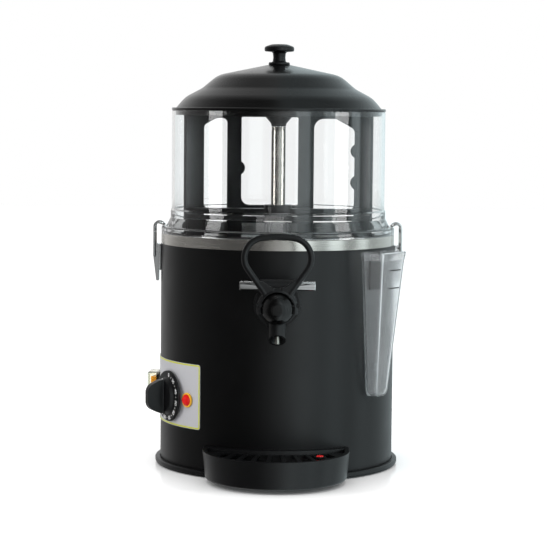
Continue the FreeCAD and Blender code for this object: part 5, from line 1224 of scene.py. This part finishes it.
def make_cup():
    """Tapered clear cup with a thicker rim and level lines."""
    rings = []
    for height, inset, draw_in in (
        (89.0, 1.4, 5.6), (89.5, 0.5, 4.0), (91.0, 0.0, 2.4), (93.5, 0.0, 0.9), (97.0, 0.0, 0.0),
        (140.0, 0.0, 0.0), (195.0, 0.0, 0.0), (242.0, 0.0, 0.0), (242.6, -0.45, 0.0),
        (250.2, -0.95, 0.0), (251.0, -0.3, 0.0),
        (251.0, 1.2, 0.0), (250.2, 1.8, 0.0), (195.0, 1.8, 0.0), (140.0, 1.8, 0.0),
        (97.0, 1.8, 0.0), (93.5, 1.8, 1.2), (91.6, 2.6, 3.4),
    ):
        width, depth = cup_size(height)
        rings.append(cup_ring(width, depth, inset, height, draw_in))
    cup = as_object("water_cup", moved(stack(rings), turned("Z", CUP_AZIMUTH)))
    dressed(cup, SKINS["cup"], "machine", ["fill_cup"], crease=34.0)
    lines = []
    for height in (231.0, 211.0):
        width, depth = cup_size(height)
        line = slab(rectangle(-4.6, height - 0.6, 15.6, height + 0.6), 0.0, 0.2)
        lines.append(moved(line, shift(y=-CUP_BACK - depth)))
    marks = as_object("level_lines", moved(joined(*lines), turned("Z", CUP_AZIMUTH)))
    dressed(marks, SKINS["dark_ink"], "machine")


# Latches

WIRE_HALF = 10.2
WIRE_SEAT = -141.5
WIRE_TIP = -131.0


def make_latch(side, azimuth):
    """Toggle latch: plate with ears, lever and wire bail."""
    spin = turned("Z", azimuth)
    plate = moved(slab(rectangle(-11.0, 222.0, 11.0, 252.5, 3.0), 0.0, 1.5), shift(y=-134.35))
    ears = []
    for low, high in ((-8.2, -7.0), (7.0, 8.2)):
        outline = smooth_path([
            (134.4, 241.0), (134.4, 252.0), (142.5, 252.0, 2.0), (142.5, 246.0, 3.0),
        ])
        ears.append(moved(prism(outline, low, high), SIDEWAYS))
    base = as_object(f"latch_plate_{side}", moved(joined(plate, *ears), spin))
    dressed(base, SKINS["chrome"], "machine", [f"latch_base_{side}"], 0.3)
    outline = smooth_path([
        (136.3, 253.2, 3.1), (136.3, 243.6), (136.6, 210.0, 1.0), (139.6, 210.0, 1.2),
        (143.2, 239.0, 8.0), (142.7, 253.2, 3.1),
    ])
    lever = moved(prism(outline, -6.7, 6.7), SIDEWAYS)
    piece = as_object(f"latch_grip_{side}", moved(lever, spin))
    dressed(piece, SKINS["chrome"], f"latch_{side}", [f"latch_lever_{side}"], 0.5)
    wire = rod([
        (-4.0, WIRE_SEAT, 238.0), (-WIRE_HALF, WIRE_SEAT, 238.0), (-WIRE_HALF, WIRE_SEAT, 279.5),
        (-WIRE_HALF, WIRE_TIP, 275.5), (WIRE_HALF, WIRE_TIP, 275.5),
        (WIRE_HALF, WIRE_SEAT, 279.5), (WIRE_HALF, WIRE_SEAT, 238.0), (4.0, WIRE_SEAT, 238.0),
    ], [2.1, 4.5, 4.5, 4.5, 4.5, 2.1], 1.5, 14)
    bail = as_object(f"latch_bail_{side}", moved(wire, spin))
    dressed(bail, SKINS["chrome"], f"bail_{side}", [f"latch_wire_{side}"])


# Drip tray

TRAY_CENTRE = 135.0
GRILLE_LOW = 29.5
GRILLE_TOP = 31.5
SLOT_ANGLE = 5.3
SLOT_REACH = 5
SLOT_START = -145.0
SLOT_ROUND = 0.8
FLOAT_RING = 157.9
FLOAT_AZIMUTH = 17.6


def bay(edge, back, height, steps=72):
    """Loop of the tray at a height: round front, straight sides and the shell's arc behind."""
    behind = math.asin(edge / back)
    front = []
    rear = []
    for i in range(steps + 1):
        turn = math.pi * i / steps
        front.append((edge * math.cos(turn), -TRAY_CENTRE - edge * math.sin(turn), height))
        turn = behind * (2 * i / steps - 1)
        rear.append((back * math.sin(turn), -back * math.cos(turn), height))
    return front + rear


def slot_length(azimuth, edge, half):
    """How far a slot of the grille can run out before a corner of it leaves the bay."""
    spin = Matrix.Rotation(math.radians(azimuth), 2)
    reach = TRAY_CENTRE + edge
    while True:
        corners = [spin @ Vector((side * half, -reach)) for side in (-1, 1)]
        middles = [Vector((0.0, max(corner.y, -TRAY_CENTRE))) for corner in corners]
        if max((c - m).length for c, m in zip(corners, middles)) <= edge:
            return reach
        reach -= 0.5


def make_tray():
    """Round-fronted drip tray, its slotted grille and the red float."""
    levels = [
        (75.3, 141.6, 5.0), (76.6, 140.8, 5.3), (77.5, 140.4, 6.2), (77.9, 140.3, 7.5),
        (77.98, 140.3, 7.8), (77.98, 134.5, 7.8), (80.5, 134.5, 34.3), (80.5, 134.6, 34.9),
        (80.2, 134.9, 35.35), (79.6, 135.6, 35.5), (76.2, 142.0, 35.5), (75.5, 142.5, 35.3),
        (75.3, 142.7, 34.7), (75.3, 142.7, 8.3), (74.5, 143.5, 7.4),
    ]
    tray = stack([bay(*level) for level in levels])
    tabs = []
    for side in (-1, 1):
        middle = TAB_HALF * side
        outline = smooth_path(rectangle(middle - 6.0, -133.1, middle + 6.0, -121.1, 1.0))
        tabs.append(prism(outline, 18.0, 22.0))
    piece = as_object("tray_pan", joined(tray, *tabs))
    dressed(piece, SKINS["mould"], "tray", ["drip_tray"], crease=38.0)
    grille = as_object("tray_grille", prism(bay(75.0, 143.0, 0.0), GRILLE_LOW, GRILLE_TOP))
    slots = []
    for i in range(-SLOT_REACH, SLOT_REACH + 1):
        azimuth = SLOT_ANGLE * i
        far = slot_length(azimuth, 70.0, 6.6)
        wide = 4.7 + 2.8 * (far - 141.0) / 74.7
        outline = smooth_path([
            (-wide, -far, SLOT_ROUND), (wide, -far, SLOT_ROUND),
            (4.8, SLOT_START, SLOT_ROUND), (-4.8, SLOT_START, SLOT_ROUND),
        ])
        slots.append(moved(prism(outline, 20.0, 40.0), turned("Z", azimuth)))
    angle = math.radians(FLOAT_AZIMUTH)
    spot = (FLOAT_RING * math.sin(angle), -FLOAT_RING * math.cos(angle))
    carved(grille, *slots)
    collar = as_object("float_collar", moved(lathe([
        (4.3, GRILLE_LOW), (6.7, GRILLE_LOW), (6.7, GRILLE_TOP + 0.1, 0.4), (4.3, GRILLE_TOP + 0.1, 0.3),
    ], steps=40), shift(*spot)))
    carved(grille, prism(circle(*spot, 6.65, 40), 20.0, 40.0))
    dressed(grille, SKINS["mould"], "grille", ["drip_grille"], 0.25, 38.0, 2)
    dressed(collar, SKINS["mould"], "grille")
    cap = as_object("float_button", moved(lathe([
        (0.0, 7.7), (7.2, 7.7), (7.2, 25.5, 0.6), (4.0, 25.5), (4.0, 32.6, 1.2), (0.0, 32.6),
    ], steps=48), shift(*spot)))
    dressed(cap, SKINS["red"], "float_cap", ["drip_float"])


# Pieces kept as they are imported

def finish_inside():
    """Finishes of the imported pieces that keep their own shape."""
    finish_node(SKINS["sheet"], "base_plate", "motor_bracket")
    finish_node(SKINS["chrome"], "outlet_pipe", "drive_shaft", "heating_element", "fill_pipe",
                "plunger_spring", "latch_pins")
    finish_node(SKINS["zinc"], "foot_screws", "knob_screw", "motor_screws", "thermostat_screws",
                "column_nuts", "heater_nuts", "tap_plunger")
    finish_node(SKINS["rubber"], "rubber_feet", "pan_gasket", "column_gasket", "outlet_gasket",
                "plunger_seal")
    finish_node(SKINS["white"], "riser_washer", "shaft_bushes")
    finish_node(SKINS["mould"], "cable_gland", "tap_crank", "cup_bracket")
    finish_node(SKINS["motor"], "gear_motor")
    finish_node(SKINS["ceramic"], "thermostat_body")


# Stage

# What a reflection sees at each azimuth in degrees, 0 towards the camera: dark at the front left,
# light from the front right on, with three upright strips, and white behind
SURROUND = (
    (-180, 1.0), (-150, 0.8), (-115, 0.24), (-75, 0.1), (-58, 0.03), (-24, 0.02), (-12, 0.12),
    (0, 0.45), (12, 0.7), (17, 0.7), (19, 1.7), (33, 1.7), (35, 0.6), (49, 0.5), (51, 1.5),
    (66, 1.5), (68, 0.4), (84, 0.35), (86, 1.5), (97, 1.5), (99, 0.4), (125, 0.8), (150, 1.0),
    (180, 1.0),
)
SURROUND_PEAK = 2.0


def make_surround_group():
    """Tone that a reflection finds in a direction."""
    graph, given, put = new_group("Surround", (
        ("Direction X", FLOAT, 0.0), ("Direction Y", FLOAT, 0.0), ("Direction Z", FLOAT, 0.0),
    ), (("Colour", COLOUR),))
    ahead = graph.math("MULTIPLY", given["Direction Y"], -1.0)
    azimuth = graph.math("ARCTAN2", given["Direction X"], ahead)
    ramp = graph.add("ShaderNodeValToRGB")
    graph.feed(ramp.inputs["Fac"], graph.spread(azimuth, -math.pi, math.pi, 0.0, 1.0))
    stops = ramp.color_ramp.elements
    while len(stops) > 1:
        stops.remove(stops[-1])
    for number, (degrees, tone) in enumerate(SURROUND):
        stop = stops.new(degrees / 360 + 0.5) if number else stops[0]
        stop.position = degrees / 360 + 0.5
        stop.color = shade(tone / SURROUND_PEAK)
    above = graph.spread(given["Direction Z"], 0.25, 0.9, 1.0, 0.45)
    tone = graph.math("MULTIPLY", ramp.outputs["Color"], graph.math("MULTIPLY", above, SURROUND_PEAK))
    cool = graph.blend(graph.spread(azimuth, -0.3, 0.7, 0.0, 1.0), shade(1.0), shade(0.84, 0.97, 1.0))
    tinted = graph.add("ShaderNodeVectorMath", {"operation": "SCALE"}, Scale=tone)
    graph.feed(tinted.inputs[0], cool)
    graph.feed(put["Colour"], tinted.outputs[0])
    return graph.tree


def surround(graph, direction, sign):
    """The surround's colour in a direction, or against it where the sign is -1."""
    parts = graph.add("ShaderNodeSeparateXYZ", Vector=direction).outputs
    effect = graph.tree.nodes.new("ShaderNodeGroup")
    effect.node_tree = bpy.data.node_groups["Surround"]
    for axis in "XYZ":
        graph.feed(effect.inputs[f"Direction {axis}"], graph.math("MULTIPLY", parts[axis], sign))
    return effect.outputs["Colour"]


def by_path(graph, plain, seen, mirrored):
    """The mirrored shader for rays that were mirrored on their way, through glass or not, the seen
    one for what the camera sees straight or through glass, and the plain one for light."""
    paths = graph.add("ShaderNodeLightPath").outputs
    straight = graph.math("MAXIMUM", paths["Is Camera Ray"], paths["Is Transmission Ray"])
    bounced = graph.math("GREATER_THAN", paths["Glossy Depth"], 0.5)
    return graph.choose(bounced, graph.choose(straight, plain, seen), mirrored)


def make_floor():
    """Pale floor that takes the machine's real shadow from the lamps, with its glow dimmed near the
    machine as a painted contact shadow; seen in reflections it glows with the surround's tones.
    """
    sheet = bmesh.new()
    bmesh.ops.create_grid(sheet, x_segments=8, y_segments=8, size=6.0)
    floor = as_object("floor", sheet)
    material = bpy.data.materials.new("pale_floor")
    graph = emptied(material)
    place = graph.add("ShaderNodeTexCoord").outputs["Object"]
    mottle = graph.add("ShaderNodeTexNoise", Vector=place, Scale=3.0, Detail=3.0).outputs["Fac"]
    tone = graph.blend(mottle, shade(0.86), shade(0.9))
    coat = graph.add("ShaderNodeBsdfPrincipled", Roughness=0.2).outputs[0]
    graph.feed(coat.node.inputs["Base Color"], tone)
    coat.node.inputs["Specular IOR Level"].default_value = 0.35
    # The glow is dimmed where the occlusion finds the machine close by: a painted contact shadow
    nearness = graph.add("ShaderNodeAmbientOcclusion", {"samples": 12}, Distance=0.07).outputs["AO"]
    shadowed_glow_strength = graph.math("MULTIPLY", graph.math("POWER", nearness, 1.6), 0.45)
    glow_with_painted_shadow = graph.add("ShaderNodeEmission", Color=shade(1.0), Strength=shadowed_glow_strength).outputs[0]
    both = graph.add("ShaderNodeAddShader")
    graph.feed(both.inputs[0], coat)
    graph.feed(both.inputs[1], glow_with_painted_shadow)
    incoming = graph.add("ShaderNodeNewGeometry").outputs["Incoming"]
    mirrored = graph.add("ShaderNodeEmission", Color=surround(graph, incoming, -1.0), Strength=0.8)
    shader = by_path(graph, coat, both.outputs[0], mirrored.outputs[0])
    graph.end("ShaderNodeOutputMaterial", shader)
    floor.data.materials.append(material)


def make_world():
    """Even light, a white view, and the surround for what is mirrored."""
    world = bpy.data.worlds.new("studio")
    bpy.context.scene.world = world
    graph = emptied(world)
    way = graph.add("ShaderNodeTexCoord").outputs["Generated"]
    fill, white = (
        graph.add("ShaderNodeBackground", Color=shade(1.0), Strength=strength).outputs[0]
        for strength in (0.45, 1.0)
    )
    mirrored = graph.add("ShaderNodeBackground", Color=surround(graph, way, 1.0), Strength=1.0)
    graph.end("ShaderNodeOutputWorld", by_path(graph, fill, white, mirrored.outputs[0]))


def make_light(name, spot, target, size, power):
    """Soft rectangular lamp aimed at a point."""
    lamp = bpy.data.lights.new(name, "AREA")
    lamp.shape = "RECTANGLE"
    lamp.size, lamp.size_y = size
    lamp.energy = power
    thing = bpy.data.objects.new(name, lamp)
    bpy.context.scene.collection.objects.link(thing)
    thing.location = spot
    thing.visible_glossy = False
    way = Vector(target) - Vector(spot)
    thing.rotation_euler = way.to_track_quat("-Z", "Y").to_euler()


def make_lamps(studio):
    """Soft boxes at both sides and a broad one above."""
    power = studio.key_power
    target = (0.0, 0.0, 0.25)
    make_light("left_box", (-1.5, -0.55, 0.6), target, (0.5, 1.6), power)
    make_light("right_box", (1.5, -0.55, 0.6), target, (0.5, 1.6), power)
    make_light("top_box", (0.0, -0.3, 1.9), target, (1.6, 1.2), power * 0.9)
    make_light("front_fill", (-0.4, -2.6, 1.3), target, (1.4, 1.0), power * 0.7)


def make_camera(studio):
    """Camera where the photograph was taken from."""
    lens = bpy.data.cameras.new("camera")
    lens.sensor_width = 36.0
    lens.lens = studio.lens
    lens.shift_x = 0.0
    lens.shift_y = 0.0
    camera = bpy.data.objects.new("camera", lens)
    bpy.context.scene.collection.objects.link(camera)
    camera.location = (-0.0045, -studio.distance, studio.eye)
    aim = Euler((math.pi / 2 - studio.tilt, 0.0, 0.0)).to_matrix()
    camera.rotation_euler = (aim @ Matrix.Rotation(studio.roll, 3, "Z")).to_euler()
    bpy.context.scene.camera = camera


# Operators, one for each piece or group of like pieces

class DISPENSER_OT_finishes(bpy.types.Operator):
    """Make every finish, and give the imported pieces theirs."""

    bl_idname = "dispenser.finishes"
    bl_label = "Finishes"

    def execute(self, context):
        make_skins(context.scene.dispenser_looks)
        finish_inside()
        return {"FINISHED"}


class DISPENSER_OT_shell(bpy.types.Operator):
    """Painted steel shell with its vents."""

    bl_idname = "dispenser.shell"
    bl_label = "Painted shell"

    def execute(self, context):
        make_shell(context.scene.dispenser_sizes)
        return {"FINISHED"}


class DISPENSER_OT_tank(bpy.types.Operator):
    """Steel tank whose rim is the bright band, and the drink pan."""

    bl_idname = "dispenser.tank"
    bl_label = "Band and pan"

    def execute(self, context):
        make_tank(context.scene.dispenser_sizes)
        return {"FINISHED"}


class DISPENSER_OT_base(bpy.types.Operator):
    """Moulded base ring."""

    bl_idname = "dispenser.base"
    bl_label = "Base ring"

    def execute(self, context):
        make_base()
        return {"FINISHED"}


class DISPENSER_OT_bowl(bpy.types.Operator):
    """Clear moulded bowl."""

    bl_idname = "dispenser.bowl"
    bl_label = "Clear bowl"

    def execute(self, context):
        make_bowl(context.scene.dispenser_sizes)
        return {"FINISHED"}


class DISPENSER_OT_lid(bpy.types.Operator):
    """Bell-shaped lid and its knob."""

    bl_idname = "dispenser.lid"
    bl_label = "Lid"

    def execute(self, context):
        make_lid(context.scene.dispenser_sizes)
        return {"FINISHED"}


class DISPENSER_OT_stirrer(bpy.types.Operator):
    """Stirring cage, hub, column and riser."""

    bl_idname = "dispenser.stirrer"
    bl_label = "Stirrer"

    def execute(self, context):
        make_stirrer()
        return {"FINISHED"}


class DISPENSER_OT_tap(bpy.types.Operator):
    """Tap body, ring nut, dome and cross bar."""

    bl_idname = "dispenser.tap"
    bl_label = "Tap"

    def execute(self, context):
        make_tap()
        return {"FINISHED"}


class DISPENSER_OT_lever(bpy.types.Operator):
    """Loop lever with its fork."""

    bl_idname = "dispenser.lever"
    bl_label = "Tap lever"

    def execute(self, context):
        make_lever()
        return {"FINISHED"}


class DISPENSER_OT_plate(bpy.types.Operator):
    """Curved control plate and its border."""

    bl_idname = "dispenser.plate"
    bl_label = "Control plate"

    def execute(self, context):
        make_plate()
        return {"FINISHED"}


class DISPENSER_OT_dial(bpy.types.Operator):
    """Winged dial with its numbers."""

    bl_idname = "dispenser.dial"
    bl_label = "Dial"

    def execute(self, context):
        make_dial()
        return {"FINISHED"}


class DISPENSER_OT_lamp(bpy.types.Operator):
    """Indicator lamp."""

    bl_idname = "dispenser.lamp"
    bl_label = "Lamp"

    def execute(self, context):
        make_lamp()
        return {"FINISHED"}


class DISPENSER_OT_switch(bpy.types.Operator):
    """Rocker switch and its splash cover."""

    bl_idname = "dispenser.switch"
    bl_label = "Switch"

    def execute(self, context):
        make_switch()
        return {"FINISHED"}


class DISPENSER_OT_cup(bpy.types.Operator):
    """Clear water cup with its level lines."""

    bl_idname = "dispenser.cup"
    bl_label = "Water cup"

    def execute(self, context):
        make_cup()
        return {"FINISHED"}


class DISPENSER_OT_latches(bpy.types.Operator):
    """Both toggle latches."""

    bl_idname = "dispenser.latches"
    bl_label = "Bowl latches"

    def execute(self, context):
        make_latch("left", -90.0)
        make_latch("right", 90.0)
        return {"FINISHED"}


class DISPENSER_OT_tray(bpy.types.Operator):
    """Drip tray, grille and float."""

    bl_idname = "dispenser.tray"
    bl_label = "Drip tray"

    def execute(self, context):
        make_tray()
        return {"FINISHED"}


class DISPENSER_OT_studio(bpy.types.Operator):
    """Floor, surround, lamps and camera."""

    bl_idname = "dispenser.studio"
    bl_label = "Studio"

    def execute(self, context):
        make_surround_group()
        make_floor()
        make_world()
        make_lamps(context.scene.dispenser_studio)
        make_camera(context.scene.dispenser_studio)
        return {"FINISHED"}


OPERATORS = (
    DISPENSER_OT_finishes,
    DISPENSER_OT_shell,
    DISPENSER_OT_tank,
    DISPENSER_OT_base,
    DISPENSER_OT_bowl,
    DISPENSER_OT_lid,
    DISPENSER_OT_stirrer,
    DISPENSER_OT_tap,
    DISPENSER_OT_lever,
    DISPENSER_OT_plate,
    DISPENSER_OT_dial,
    DISPENSER_OT_lamp,
    DISPENSER_OT_switch,
    DISPENSER_OT_cup,
    DISPENSER_OT_latches,
    DISPENSER_OT_tray,
    DISPENSER_OT_studio,
)


class DISPENSER_PT_pieces(bpy.types.Panel):
    """Sidebar panel with the sizes, the colours and every piece."""

    bl_idname = "DISPENSER_PT_pieces"
    bl_label = "Hot Chocolate Dispenser"
    bl_space_type = "VIEW_3D"
    bl_region_type = "UI"
    bl_category = "Dispenser"

    def draw(self, context):
        layout = self.layout
        for name in ("dispenser_sizes", "dispenser_looks", "dispenser_studio"):
            settings = getattr(context.scene, name)
            box = layout.box()
            for key in settings.__annotations__:
                box.prop(settings, key)
        for operator in OPERATORS:
            layout.operator(operator.bl_idname)


SETTINGS = {
    "dispenser_sizes": DispenserSizes,
    "dispenser_looks": DispenserLooks,
    "dispenser_studio": StudioSettings,
}
CLASSES = (*SETTINGS.values(), *OPERATORS, DISPENSER_PT_pieces)


def register():
    """Register every class and hang the settings on the scene."""
    for item in CLASSES:
        bpy.utils.register_class(item)
    for name, kind in SETTINGS.items():
        setattr(bpy.types.Scene, name, bpy.props.PointerProperty(type=kind))


def unregister():
    """Undo register."""
    for name in SETTINGS:
        delattr(bpy.types.Scene, name)
    for item in reversed(CLASSES):
        bpy.utils.unregister_class(item)


def main():
    """Build the whole scene."""
    register()
    bpy.context.scene.view_settings.view_transform = "Standard"
    for operator in OPERATORS:
        getattr(bpy.ops.dispenser, operator.bl_idname.split(".")[1])()


if __name__ == "__main__":
    main()
